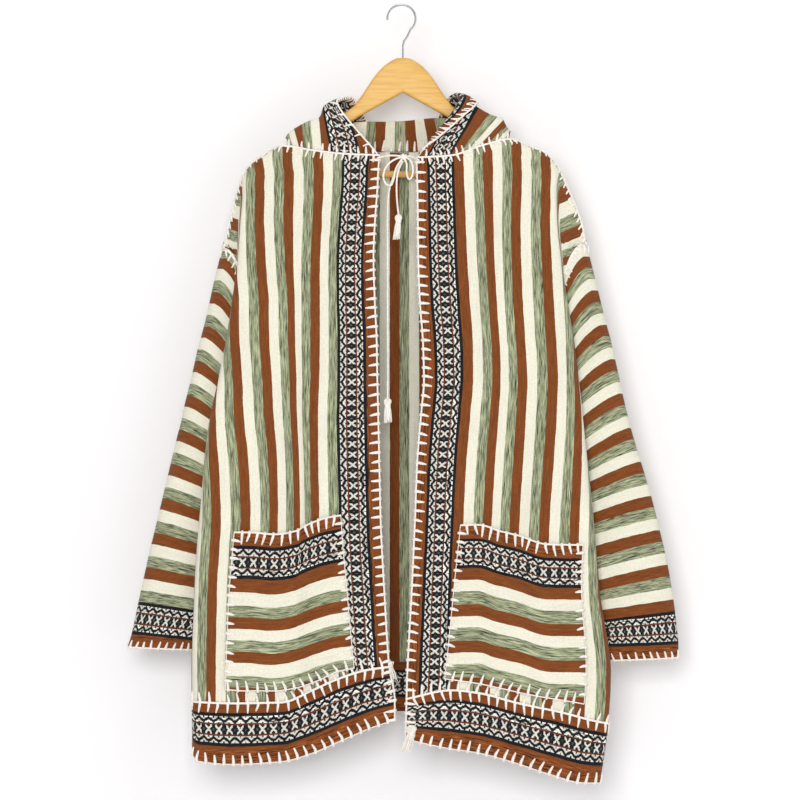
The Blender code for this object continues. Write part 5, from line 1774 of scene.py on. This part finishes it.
@dataclass
class Sleeves(Maker):
    """Both sleeves: tubes with cross stripes and a banded cuff."""

    around: int = 96
    rings: int = 130
    repeat: float = 11.0
    stripe: float = 15.4
    strip: float = 16.7
    cuff: float = 60.0
    gap_rings: float = 0.5
    underarm_gap: float = 0.7
    creases: dict[Side, tuple[Crease, ...]] = field(default_factory=lambda: {
        Side.LEFT: creased(
            (60, -30, 96, -230, 13, 3.0, 8), (30, -90, 44, -330, 11, -2.4, -6),
            (84, -230, 60, -500, 14, 3.0, 7), (110, -140, 100, -400, 11, -2.6, 5),
            (200, -60, 220, -480, 15, 3.2, 8), (250, -120, 240, -520, 13, -2.6, 6),
        ),
        Side.RIGHT: creased(
            (56, -20, 90, -200, 13, 3.2, -8), (28, -80, 40, -300, 11, -2.4, 6),
            (92, -240, 66, -520, 14, 3.0, -7), (116, -130, 104, -420, 11, -2.8, 5),
            (196, -60, 222, -460, 15, 3.2, -8), (248, -130, 236, -520, 13, -2.6, 6),
        ),
    })

    def build(self) -> None:
        """Build both sleeves and dress them."""
        for side in Side:
            self.build_sleeve(side)

    def build_sleeve(self, side: Side) -> None:
        """Build one sleeve, its join under the arm.

        Args:
            side: The garment's half.
        """
        form = FORMS[side]
        rings = [8 * i / self.rings for i in range(self.rings + 1)]
        outer = [form.ring(ring, 0.0) for ring in rings]
        lengths = np.cumsum([0.0, *[math.dist(a, b) for a, b in zip(outer, outer[1:])]])
        first = [0.0, self.strip, *[self.cuff + self.stripe * i for i in range(3)]]
        levels = first + [first[-1] + self.stripe * i for i in range(1, 33)]
        places = [0.0, STRIP, *[BAND_END + STRIPE * i for i in range(35)]]
        angles = [math.pi + math.tau * i / self.around for i in range(self.around + 1)]
        points, ws, uvs = [], [], []
        for ring, length in zip(rings, lengths):
            line = [(side.value * x, y, z) for x, y, z in (form.ring(ring, a) for a in angles)]
            across = np.cumsum([0.0, *[math.dist(a, b) for a, b in zip(line, line[1:])]])
            if ring < self.gap_rings:
                part = 1 - ring / self.gap_rings
                gap = [ARMHOLE_GAP + self.underarm_gap * (1 - math.cos(a)) / 2 for a in angles]
                line = [
                    (x + side.value * g * part, y, z - ARMHOLE_GAP * part)
                    for (x, y, z), g in zip(line, gap)
                ]
            points.append(line)
            ws.append(across)
            level = float(np.interp(lengths[-1] - length, levels, places))
            uvs.append([(level, a * REPEAT / self.repeat) for a in across])
        heights = np.tile(-lengths[:, None], (1, len(angles)))
        maps = (np.array(ws), heights, np.array(uvs) * MM)
        facing = (side.value * 1.0, 0.0, 0.0)
        cloth = Cloth(side.named("sleeve_cloth"), np.array(points) * MM, *maps, facing)
        edge = cloth.points[:, 0].copy()
        cloth.press(self.creases[side], 26)
        cloth.points[:, 0] = edge
        cloth.points[:, -1] = edge
        finish = GREEN_FIRST if side is Side.LEFT else RUST_FIRST
        cut = (round(float(cloth.w[:, -1].max()), 0) * MM, round(float(lengths[-1]) * MM, 3))
        node, holder = side.named("sleeve"), side.named("front_cloth")
        self.dress(cloth, finish, "striped_wool", node, cut, holder, weld=True)


@dataclass
class Hood(Maker):
    """The hood: one cloth from face edge to face edge, its right face edge turned outward."""

    steps: int = 64
    step_width: float = 3.0
    lapel: float = 22.0
    lapel_lift: float = 1.0
    crest_part: float = 0.22
    faces: int = 113
    plain_from: float = 61.0
    along_start: float = 20.0
    stripes: dict[Side, tuple[tuple[float, float], ...]] = field(default_factory=lambda: {
        Side.LEFT: ((0, 0), (111, 111), (240.3, 224.4), (280, 272)),
        Side.RIGHT: (
            (0, 0), (160, 160), (231, 224.4), (240.4, 211.8), (253.2, 199.2), (258, 194.2),
            (263.5, 199.2), (275.4, 211.8), (280, 216.5),
        ),
    })
    creases: dict[Side, tuple[Crease, ...]] = field(default_factory=lambda: {
        Side.LEFT: creased(
            (70, -20, 90, -120, 9, 2.4, 4), (118, -30, 140, -190, 10, -2.4, 5),
            (60, -170, 110, -330, 13, 3.0, 6), (170, -120, 200, -330, 13, 2.6, -6),
            (150, -220, 220, -380, 12, -2.6, 6), (30, -120, 50, -300, 10, -2.2, 4),
        ),
        Side.RIGHT: creased(
            (72, -24, 94, -130, 9, 2.6, -4), (112, -30, 130, -180, 10, -2.6, 5),
            (66, -180, 116, -340, 13, 3.0, -6), (166, -120, 196, -320, 13, 2.8, 6),
            (140, -230, 210, -380, 12, -2.4, 6), (34, -120, 54, -300, 10, -2.2, 4),
        ),
    })

    def half(self, side: Side) -> Cloth:
        """Lay one half of the hood on the form, with its lapel where it has one.

        Args:
            side: The garment's half.

        Returns:
            The half, its columns running from the face edge to the crown.
        """
        form, rows = FORMS[side], self.steps + 1
        faces = np.linspace(0, HOOD_HALF, self.faces)
        lines = [form.hood_line(float(face), self.steps) for face in faces]
        points = np.array(lines).transpose(1, 0, 2) * MM
        points[..., 0] *= side.value
        along = np.linalg.norm(np.diff(points, axis=0), axis=2).cumsum(axis=0) / MM
        along = np.vstack([np.zeros((1, len(faces))), along])
        maps = (np.tile(faces, (rows, 1)), -along, np.zeros((*along.shape, 2)))
        smooth = Cloth("hood half", points, *maps, FORWARD)
        smooth.turned = side is Side.LEFT
        smooth.press(self.creases[side], 14)
        widths = np.linspace(0, HOOD_HALF, int(HOOD_HALF / self.step_width) + 1)
        laid = np.zeros((rows, len(widths), 3))
        down = np.zeros((rows, len(widths)))
        for row in range(rows):
            fold = 0.0
            if side is Side.RIGHT:
                fold = self.lapel * smooth_step(0.0, self.crest_part, row / self.steps)
            for index, width in enumerate(widths):
                place, lift = self.turned_place(float(width), fold)
                col = place / HOOD_HALF * (len(faces) - 1)
                point, normal = smooth.sample(row, col)
                laid[row, index] = point + normal * lift * MM
                down[row, index] = np.interp(col, np.arange(len(faces)), along[row])
        across = np.array([self.pattern_across(side, widths, line) for line in down])
        pattern = np.stack([across, down + self.along_start], axis=2) * MM
        return Cloth("half", laid, np.tile(widths, (rows, 1)), -down, pattern, FORWARD)

    def pattern_across(self, side: Side, widths: np.ndarray, down: np.ndarray) -> np.ndarray:
        """Pattern coordinates along one row of a half.

        Args:
            side: The garment's half.
            widths: Cloth distances from the face edge.
            down: Distance of each from the neck seam.

        Returns:
            The coordinates.
        """
        plain = np.interp(widths, *zip(*self.stripes[side]))
        if side is Side.RIGHT:
            return plain
        result = []
        for width, place, fallback in zip(widths, down, plain):
            inner = np.interp(place, (0, 45, 75, 130), (19, 2.5, 1, STRIP))
            outer = np.interp(place, (0, 45, 75, 130), (49.5, 52, 52, BAND_END))
            knots = (0, inner, outer, self.plain_from)
            near = np.interp(width, knots, (0, STRIP, BAND_END, self.plain_from))
            result.append(near if width < self.plain_from else fallback)
        return np.array(result)

    def turned_place(self, width: float, fold: float) -> tuple[float, float]:
        """Where a cloth distance lies once the face edge is turned outward.

        Args:
            width: Cloth distance from the face edge.
            fold: Cloth distance of the turned edge's fold.

        Returns:
            The distance on the plain form, and the height above it.
        """
        if width >= BAND_END:
            return width, 0.0
        rate = BAND_END / (BAND_END - fold)
        if width >= fold:
            return (width - fold) * rate, 0.0
        out = fold - width
        return out * rate, (self.lapel_lift + CLOTH) * smooth_step(0.0, 3.5, out)

    def build(self) -> None:
        """Join both halves at the crown and dress the hood."""
        right = self.half(Side.RIGHT).flipped()
        cloth = joined("hood_cloth", self.half(Side.LEFT), right, FORWARD)
        cloth.turned = float(cloth.facing(4, 28)[1]) > 0
        cut = (2 * HOOD_HALF * MM, 0.42)
        made = self.dress(cloth, RUST_FIRST, "striped_wool", "hood", cut, "hanger_arms", weld=True)
        made.data.materials.append(RUST_GREEN.material())
        for polygon in made.data.polygons:
            if polygon.center.x > 0:
                polygon.material_index = 1


@dataclass
class Sewing:
    """Blanket stitches and edge yarns of white wool along every edge and seam."""

    cloths: dict[str, Cloth]
    seam: Stitch = Stitch(reach=12.5, root=1.9, lean=3.0)
    small: Stitch = Stitch(pitch=9.5, reach=9.5, root=1.7, lean=2.0)
    hem: Stitch = Stitch(reach=13.0, root=2.1, tip=1.0, lean=2.4)
    mouth: Stitch = Stitch(pitch=10.5, reach=14.0, root=1.9, lean=3.0)
    patch: Stitch = Stitch(reach=9.0, root=2.2, tip=0.6)
    crossed: Stitch = Stitch(pitch=4.8, reach=11.0, root=1.0, tip=0.8, lean=2.6, zigzag=True)
    sparse: Stitch = Stitch(pitch=17.0, reach=9.5, root=1.4)

    def build(self) -> None:
        """Sew each group of edges."""
        for name, seed, sew in (
            ("opening_yarn", 5, self.openings), ("hem_yarn", 7, self.hems),
            ("pocket_yarn", 9, self.pockets), ("neck_yarn", 11, self.necks),
            ("shoulder_yarn", 13, self.shoulders), ("cuff_yarn", 15, self.cuffs),
            ("hood_yarn", 17, self.face),
        ):
            work = YarnWork(name, seed)
            sew(work)
            keep(work.piece(YARN), "white_yarn")

    def openings(self, work: YarnWork) -> None:
        """Edge both sides of the front opening, and close the side seams."""
        for side in Side:
            for name, start in (("front_cloth", 0.35), ("hem_cloth", 0.0)):
                cloth = self.cloths[side.named(name)]
                work.cord(cloth, Edge.START, radius=1.3)
                work.blanket(cloth, Edge.START)
                work.cord(cloth, Edge.END, (start, 1.0), 0.9, 0.3)

    def hems(self, work: YarnWork) -> None:
        """Sew the hem strips on, with stitches to both sides, and edge them below."""
        for half in ("left", "right", "back"):
            above = self.cloths["back_cloth" if half == "back" else f"front_cloth_{half}"]
            below = self.cloths[f"hem_cloth_{half}"]
            work.cord(below, Edge.TOP, radius=1.6, lift=1.0)
            work.blanket(above, Edge.BOTTOM, LONG, self.seam, wraps=False)
            work.blanket(below, Edge.TOP, LONG, self.seam, wraps=False)
            work.cord(below, Edge.BOTTOM, radius=0.8, lift=-0.2, swing=0.5)
            work.blanket(below, Edge.BOTTOM, LONG, self.hem)
        self.loose_ends(work, self.cloths["hem_cloth_left"].points[0, 0])

    def loose_ends(self, work: YarnWork, corner: np.ndarray) -> None:
        """Leave a tuft of loose yarn ends at the left front's lower corner.

        Args:
            work: The hem's yarn.
            corner: Where they start, in metres.
        """
        for _ in range(10):
            out, drop = work.rng.uniform(1, 9), work.rng.uniform(12, 34)
            back = work.rng.uniform(0.5, 4)
            last = (out + work.rng.uniform(-3, 3), back, -drop)
            first = ((0, 0, 0), (0.7 * out, 1.0, 7), (0.5 * out, back, 0.0))
            bends = [corner / MM + np.array(b) for b in (*first, (out, back, -0.6 * drop), last)]
            work.strand(smooth_route(bends, 4.0), 0.5)

    def pockets(self, work: YarnWork) -> None:
        """Sew the pockets on along three sides and edge their mouths."""
        for side in Side:
            cloth = self.cloths[side.named("pocket_cloth")]
            for edge, radius, stitch in (
                (Edge.TOP, 1.35, self.mouth), (Edge.BOTTOM, 0.9, self.seam),
                (Edge.START, 0.6, self.patch), (Edge.END, 0.6, self.patch),
            ):
                work.cord(cloth, edge, radius=radius, lift=0.2)
                work.blanket(cloth, edge, (0.02, 0.98), stitch)

    def necks(self, work: YarnWork) -> None:
        """Sew the hood to the neck with a yarn along the seam and stitches to both sides."""
        end = NECK_END / FRONT_WIDTH
        for side in Side:
            front = self.cloths[side.named("front_cloth")]
            work.cord(front, Edge.TOP, (0.0, end), 1.4, 0.9)
            work.blanket(front, Edge.TOP, (0.01, end), self.small, wraps=False)
        back, hood = self.cloths["back_cloth"], self.cloths["hood_cloth"]
        work.cord(back, Edge.TOP, (0.24, 0.76), 1.3, 0.6)
        for cloth, span in ((back, (0.24, 0.76)), (hood, (0.0, 0.24)), (hood, (0.76, 1.0))):
            work.blanket(cloth, Edge.TOP, span, self.small, wraps=False)
        work.blanket(hood, Edge.TOP, (0.3, 0.7), self.mouth, wraps=False, inside=True)

    def shoulders(self, work: YarnWork) -> None:
        """Close the shoulder seams and the seams at the armholes."""
        start = NECK_END / FRONT_WIDTH
        for side in Side:
            front = self.cloths[side.named("front_cloth")]
            sleeve = self.cloths[side.named("sleeve_cloth")]
            work.cord(front, Edge.TOP, (start, 1.0), 1.3, 1.0)
            work.blanket(front, Edge.TOP, (start, 0.99), self.small, wraps=False)
            work.cord(front, Edge.END, (0.0, 0.2), 1.1, 0.6)
            work.blanket(sleeve, Edge.TOP, (0.2, 0.8), self.small, wraps=False)
            work.cord(sleeve, Edge.TOP, radius=1.1, lift=0.5)
        for span in ((0.0, 0.24), (0.76, 1.0)):
            work.blanket(self.cloths["back_cloth"], Edge.TOP, span, self.small, wraps=False)

    def cuffs(self, work: YarnWork) -> None:
        """Edge the cuffs."""
        for side in Side:
            cloth = self.cloths[side.named("sleeve_cloth")]
            work.cord(cloth, Edge.BOTTOM, radius=1.1, lift=-0.2)
            work.blanket(cloth, Edge.BOTTOM, LONG, self.small)

    def face(self, work: YarnWork) -> None:
        """Edge the hood's face, on the inner side where the edge is turned outward."""
        hood = self.cloths["hood_cloth"]
        work.cord(hood, Edge.START, (0.0, 0.72), 1.25, 0.5)
        work.blanket(hood, Edge.START, (0.03, 0.72), self.sparse)
        work.blanket(hood, Edge.START, (0.2, 0.72), self.crossed, inside=True)
        work.cord(hood, Edge.END, (0.0, 0.72), 1.25, -CLOTH)
        work.blanket(hood, Edge.END, (0.03, 0.72), self.crossed, inside=True)


def smooth_route(points: Sequence[Point], spacing: float) -> np.ndarray:
    """Points along the round curve through a route's own points.

    Args:
        points: The route's points in millimetres.
        spacing: Distance between the curve's points in millimetres.

    Returns:
        Points in metres.
    """
    places = np.array(points, dtype=float)
    lengths = np.concatenate([[0.0], np.cumsum(np.linalg.norm(np.diff(places, axis=0), axis=1))])
    count = max(2, round(lengths[-1] / spacing))
    result = []
    for target in np.linspace(0, lengths[-1], count + 1):
        i = min(int(np.searchsorted(lengths, target, side="right")) - 1, len(lengths) - 2)
        before, after = max(0, i - 1), min(len(lengths) - 1, i + 2)
        span = lengths[i + 1] - lengths[i]
        start = (places[i + 1] - places[before]) / (lengths[i + 1] - lengths[before])
        stop = (places[after] - places[i]) / (lengths[after] - lengths[i])
        t = (target - lengths[i]) / span
        bend = (t**3 - 2 * t**2 + t) * span * start + (t**3 - t**2) * span * stop
        rise = t * t * (3 - 2 * t)
        result.append(places[i] + (places[i + 1] - places[i]) * rise + bend)
    return np.array(result) * MM


# A tassel's width, as parts of the way down and shares of its radius
TASSEL_SHAPE = ((0, 0.07, 0.16, 0.3, 0.5, 1), (0.3, 0.85, 0.95, 0.6, 0.85, 1.02))


@dataclass
class Tassel:
    """A tassel of yarn ends under a bound head, in millimetres."""

    name: str
    node: str
    top: Point
    length: float
    radius: float
    lean: tuple[float, float]
    ends: int = 54
    turns: int = 4

    def build(self) -> bpy.types.Object:
        """Build the tassel from its hanging ends, its head and the binding round its neck."""
        work = YarnWork(self.name, 19 + self.ends)
        top = np.array(self.top)
        head = self.radius * 1.9
        drop = self.length + head
        for index in range(self.ends):
            angle = index * 2.39996
            share = math.sqrt((index + 0.5) / self.ends)
            reach = drop * work.rng.uniform(0.9, 1.0)
            line, radii = [], []
            for part in (0.0, 0.07, 0.16, 0.3, 0.42, 0.6, 0.8, 1.0):
                wide = np.interp(part, *TASSEL_SHAPE)
                curl = 0.5 * math.sin(5 * part + index) * part
                x = (self.radius * share * wide + curl) * math.cos(angle)
                y = (self.radius * share * wide + curl) * math.sin(angle) * 0.85
                lean = max(0.0, part - 0.25) / 0.75
                line.append((x + self.lean[0] * lean, y + self.lean[1] * lean, -part * reach))
                radii.append(0.62 if part < 1 else 0.4)
            work.strands.append(((np.array(line) + top) * MM, radii))
        loops = []
        for step in range(self.turns * 14 + 1):
            angle = math.tau * step / 14
            wide = self.radius * 0.64
            height = -head * 0.92 - 0.9 * step / 14 + 1.6
            loops.append((wide * math.cos(angle), wide * math.sin(angle) * 0.85, height))
        work.strand((np.array(loops) + top) * MM, 0.7)
        return keep(work.piece(YARN), "white_yarn", self.node)


@dataclass
class Ties:
    """The drawstring at the neck: a bow, its two hanging ends and their tassels."""

    knot: Point = (2.5, -44.0, -200.0)
    tie_diameter: float = 2.6
    cord_diameter: float = 2.4
    loops: tuple[tuple[Point, ...], ...] = (
        ((-1, -44, -201), (-8, -46, -203), (-18, -47, -210), (-24, -47, -222), (-22, -47, -234),
         (-15, -47, -238), (-11, -47, -230), (-8, -47, -216), (0, -45, -203)),
        ((3, -44, -201), (10, -48, -204), (14, -50, -214), (13, -50, -226), (9, -50, -230),
         (6, -50, -222), (6, -49, -210), (3, -45, -202)),
        ((-32, -31.5, -201), (-26, -34.5, -199.5), (-18, -39.5, -198.5), (-8, -43, -198.5),
         (1, -44, -200)),
        ((22, -31.5, -204), (18, -35.5, -202), (13, -40.5, -200), (8, -43, -199.5), (3, -44, -200)),
    )
    long_end: tuple[Point, ...] = (
        (-0.6, -42.2, -205.5), (-4.8, -40.2, -213.5), (-12, -39.6, -228), (-17, -41.5, -246),
        (-18.5, -43.5, -270), (-18.5, -44, -330), (-18.5, -44, -400), (-18.2, -44, -470),
        (-18.5, -44, -513),
    )
    short_end: tuple[Point, ...] = (
        (1, -45, -206), (-3, -49, -214), (-6.5, -51, -228), (-7, -52, -246), (-6, -52.5, -262),
        (-4.5, -53, -275),
    )
    tassels: tuple[Tassel, ...] = (
        Tassel("tassel_long_yarn", "tassel_long", (-18.5, -44, -513.4), 22, 5.2, (0, 0)),
        Tassel("tassel_short_yarn", "tassel_short", (-4.5, -53, -275.4), 24, 4.6, (-3, 0)),
        Tassel("tassel_corner_yarn", "tassel_corner", (12, -58.2, -936), 21, 7.2, (-7, -3.5), 80),
    )

    def build(self) -> None:
        """Build the cords, the bow and the tassels."""
        made = {tassel.node: tassel.build() for tassel in self.tassels}
        self.build_end("tie_long_cord", "tie_end_long", self.long_end, made["tassel_long"])
        self.build_end("tie_short_cord", "tie_end_short", self.short_end, made["tassel_short"])
        self.build_bow()

    def build_end(
        self, name: str, node: str, points: Sequence[Point], tassel: bpy.types.Object
    ) -> None:
        """Build one hanging end of the drawstring as a cord of its real length.

        Args:
            name: The piece's name.
            node: The CAD node that it stands for.
            points: Its route in millimetres.
            tassel: Not used.
        """
        line = smooth_route(points, 6.0)
        work = YarnWork(name)
        work.strand(line, self.cord_diameter / 2)
        cord = keep(work.piece(YARN), "white_yarn", node)

    def build_bow(self) -> None:
        """Build the loops, the runs to the neck's corners and the turns of the knot."""
        work = YarnWork("tie_bow_cord", 23)
        for points in self.loops:
            work.strand(smooth_route(points, 3.0), self.tie_diameter / 2)
        middle = np.array(self.knot)
        for turn in range(4):
            tilt = 0.9 * turn - 1.2
            line = []
            for step in range(19):
                angle = math.tau * step / 18
                x, y, z = 2.9 * math.cos(angle), 2.6 * math.sin(angle), 0.9 * turn - 1.4
                across = x * math.cos(tilt) - z * math.sin(tilt)
                line.append(middle + (across, y, x * math.sin(tilt) + z * math.cos(tilt)))
            work.strand(np.array(line) * MM, 1.35)
        keep(work.piece(YARN), "white_yarn", "tie_bow")


@dataclass
class Hanger:
    """The wooden hanger: rounded arms, a round bar between them and a chromed wire hook."""

    middle: float = 1.3
    thickness: float = 12.0
    rounding: float = 3.4
    segments: int = 4
    outline: tuple[tuple[float, float], ...] = (
        (0, -68), (9, -69), (17, -73), (25, -79), (32, -86), (40, -96), (47, -107), (55, -119),
        (64, -131), (76, -140), (110, -163), (143, -187), (154, -188.8), (166, -192.3),
        (177, -198.8), (184, -203.8), (188, -209.5), (189, -217), (187, -225), (183, -229.5),
        (174, -229.5), (174, -214), (110, -180), (57, -145), (0, -113.4),
    )

    def build(self) -> None:
        """Build the arms and finish the bar and the hook, whose solids have their true shape."""
        self.build_arms()
        for node, finish in (("hanger_bar", WOOD), ("hanger_hook", CHROME)):
            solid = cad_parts[node]
            solid.data.materials.clear()
            solid.data.materials.append(finish.material())
            LOG.info("%s carried over in %s", node, finish.name)

    def build_arms(self) -> None:
        """Build both arms as one board with rounded edges."""
        half = self.outline
        outline = [*half, *[(-x, z) for x, z in reversed(half[1:-1])]]
        builder = bmesh.new()
        corners = [
            builder.verts.new(((x + self.middle) * MM, -self.thickness / 2 * MM, z * MM))
            for x, z in outline
        ]
        face = builder.faces.new(corners)
        grown = bmesh.ops.extrude_face_region(builder, geom=[face])
        moved = [item for item in grown["geom"] if isinstance(item, bmesh.types.BMVert)]
        bmesh.ops.translate(builder, verts=moved, vec=Vector((0, self.thickness * MM, 0)))
        bmesh.ops.recalc_face_normals(builder, faces=builder.faces)
        rims = [edge for edge in builder.edges if abs(edge.verts[0].co.y - edge.verts[1].co.y) < MM]
        bmesh.ops.bevel(
            builder, geom=rims, offset=self.rounding * MM, segments=self.segments, profile=0.5,
            affect="EDGES", clamp_overlap=True, material=-1,
        )
        made = add_mesh("hanger_arms_wood", builder, WOOD)
        made.data.shade_smooth()
        keep(made, "pale_wood", "hanger_arms")


@dataclass
class Studio:
    """Camera, soft lights, pale wall close behind the garment and a pale floor."""

    pixel: float = 1.3
    image: int = 800
    left_px: float = 402.0
    top_px: float = 3.5
    distance: float = 5.0
    plane_y: float = -0.03
    wall_y: float = 0.102
    floor_z: float = -1.42
    sensor: float = 36.0

    def build_camera(self) -> None:
        """Place the camera straight before the garment, framed as the photo is."""
        data = bpy.data.cameras.new("camera")
        data.sensor_width = self.sensor
        width = self.image * self.pixel * MM
        data.lens = self.sensor * self.distance / width
        data.clip_start, data.clip_end = 0.1, 100.0
        camera = bpy.data.objects.new("camera", data)
        bpy.context.scene.collection.objects.link(camera)
        x = (self.image / 2 - self.left_px) * self.pixel * MM
        z = (self.top_px - self.image / 2) * self.pixel * MM
        camera.location = (x, self.plane_y - self.distance, z)
        camera.rotation_euler = (math.pi / 2, 0, 0)
        bpy.context.scene.camera = camera

    def build_set(self) -> None:
        """Build the wall and the floor."""
        self.build_plane("wall", 3.2, (0, self.wall_y, -0.6), math.pi / 2, True)
        self.build_plane("floor", 4.5, (0, 0, self.floor_z), 0.0, False)

    def build_plane(
        self, name: str, size: float, place: Point, turn: float, see_through: bool
    ) -> None:
        """Build one side of the set.

        Args:
            name: Its name.
            size: Half its width in metres.
            place: Its middle.
            turn: How far it is turned up from the level.
            see_through: Whether it is open from behind.
        """
        builder = bmesh.new()
        bmesh.ops.create_grid(builder, x_segments=2, y_segments=2, size=size)
        turning = Matrix.Rotation(turn, 3, "X")
        bmesh.ops.rotate(builder, verts=builder.verts, cent=Vector(), matrix=turning)
        bmesh.ops.translate(builder, verts=builder.verts, vec=Vector(place))
        finish = Plaster(f"white plaster, {name}", see_through=see_through)
        made = add_mesh(name, builder, finish)
        made.visible_shadow = not see_through

    def build_lights(self) -> None:
        """Build a large frontal key, weaker lamps from the right, above and behind, and a sky."""
        world = bpy.data.worlds.new("soft studio")
        world.use_nodes = True
        background = world.node_tree.nodes["Background"]
        background.inputs["Color"].default_value = (1.0, 1.0, 1.0, 1.0)
        background.inputs["Strength"].default_value = 0.35
        bpy.context.scene.world = world
        bpy.context.scene.view_settings.view_transform = "Standard"
        target = Vector((0.0, 0.0, -0.5))
        for name, place, size, energy in (
            ("key", (-0.5, -5.6, 0.2), 2.0, 188.0),
            ("fill", (1.9, -2.4, -0.2), 2.2, 10.0),
            ("top", (0.2, -0.9, 1.5), 1.2, 8.0),
            ("rear", (0.5, 3.2, 0.6), 2.0, 45.0),
        ):
            lamp = bpy.data.lights.new(name, "AREA")
            lamp.size = size
            lamp.energy = energy
            made = bpy.data.objects.new(name, lamp)
            made.location = place
            made.rotation_euler = (target - Vector(place)).to_track_quat("-Z", "Y").to_euler()
            bpy.context.scene.collection.objects.link(made)


def main() -> None:
    """Place the camera, build the drawstring, garment and hanger, then the set and its lights."""
    logging.basicConfig(level=logging.INFO, format="%(name)s: %(message)s")
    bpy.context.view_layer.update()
    studio = Studio()
    studio.build_camera()
    Ties().build()
    cloths: dict[str, Cloth] = {}
    for maker in (Body, Sleeves, Hood, Sewing):
        maker(cloths).build()
    Hanger().build()
    studio.build_set()
    studio.build_lights()


if __name__ == "__main__":
    main()
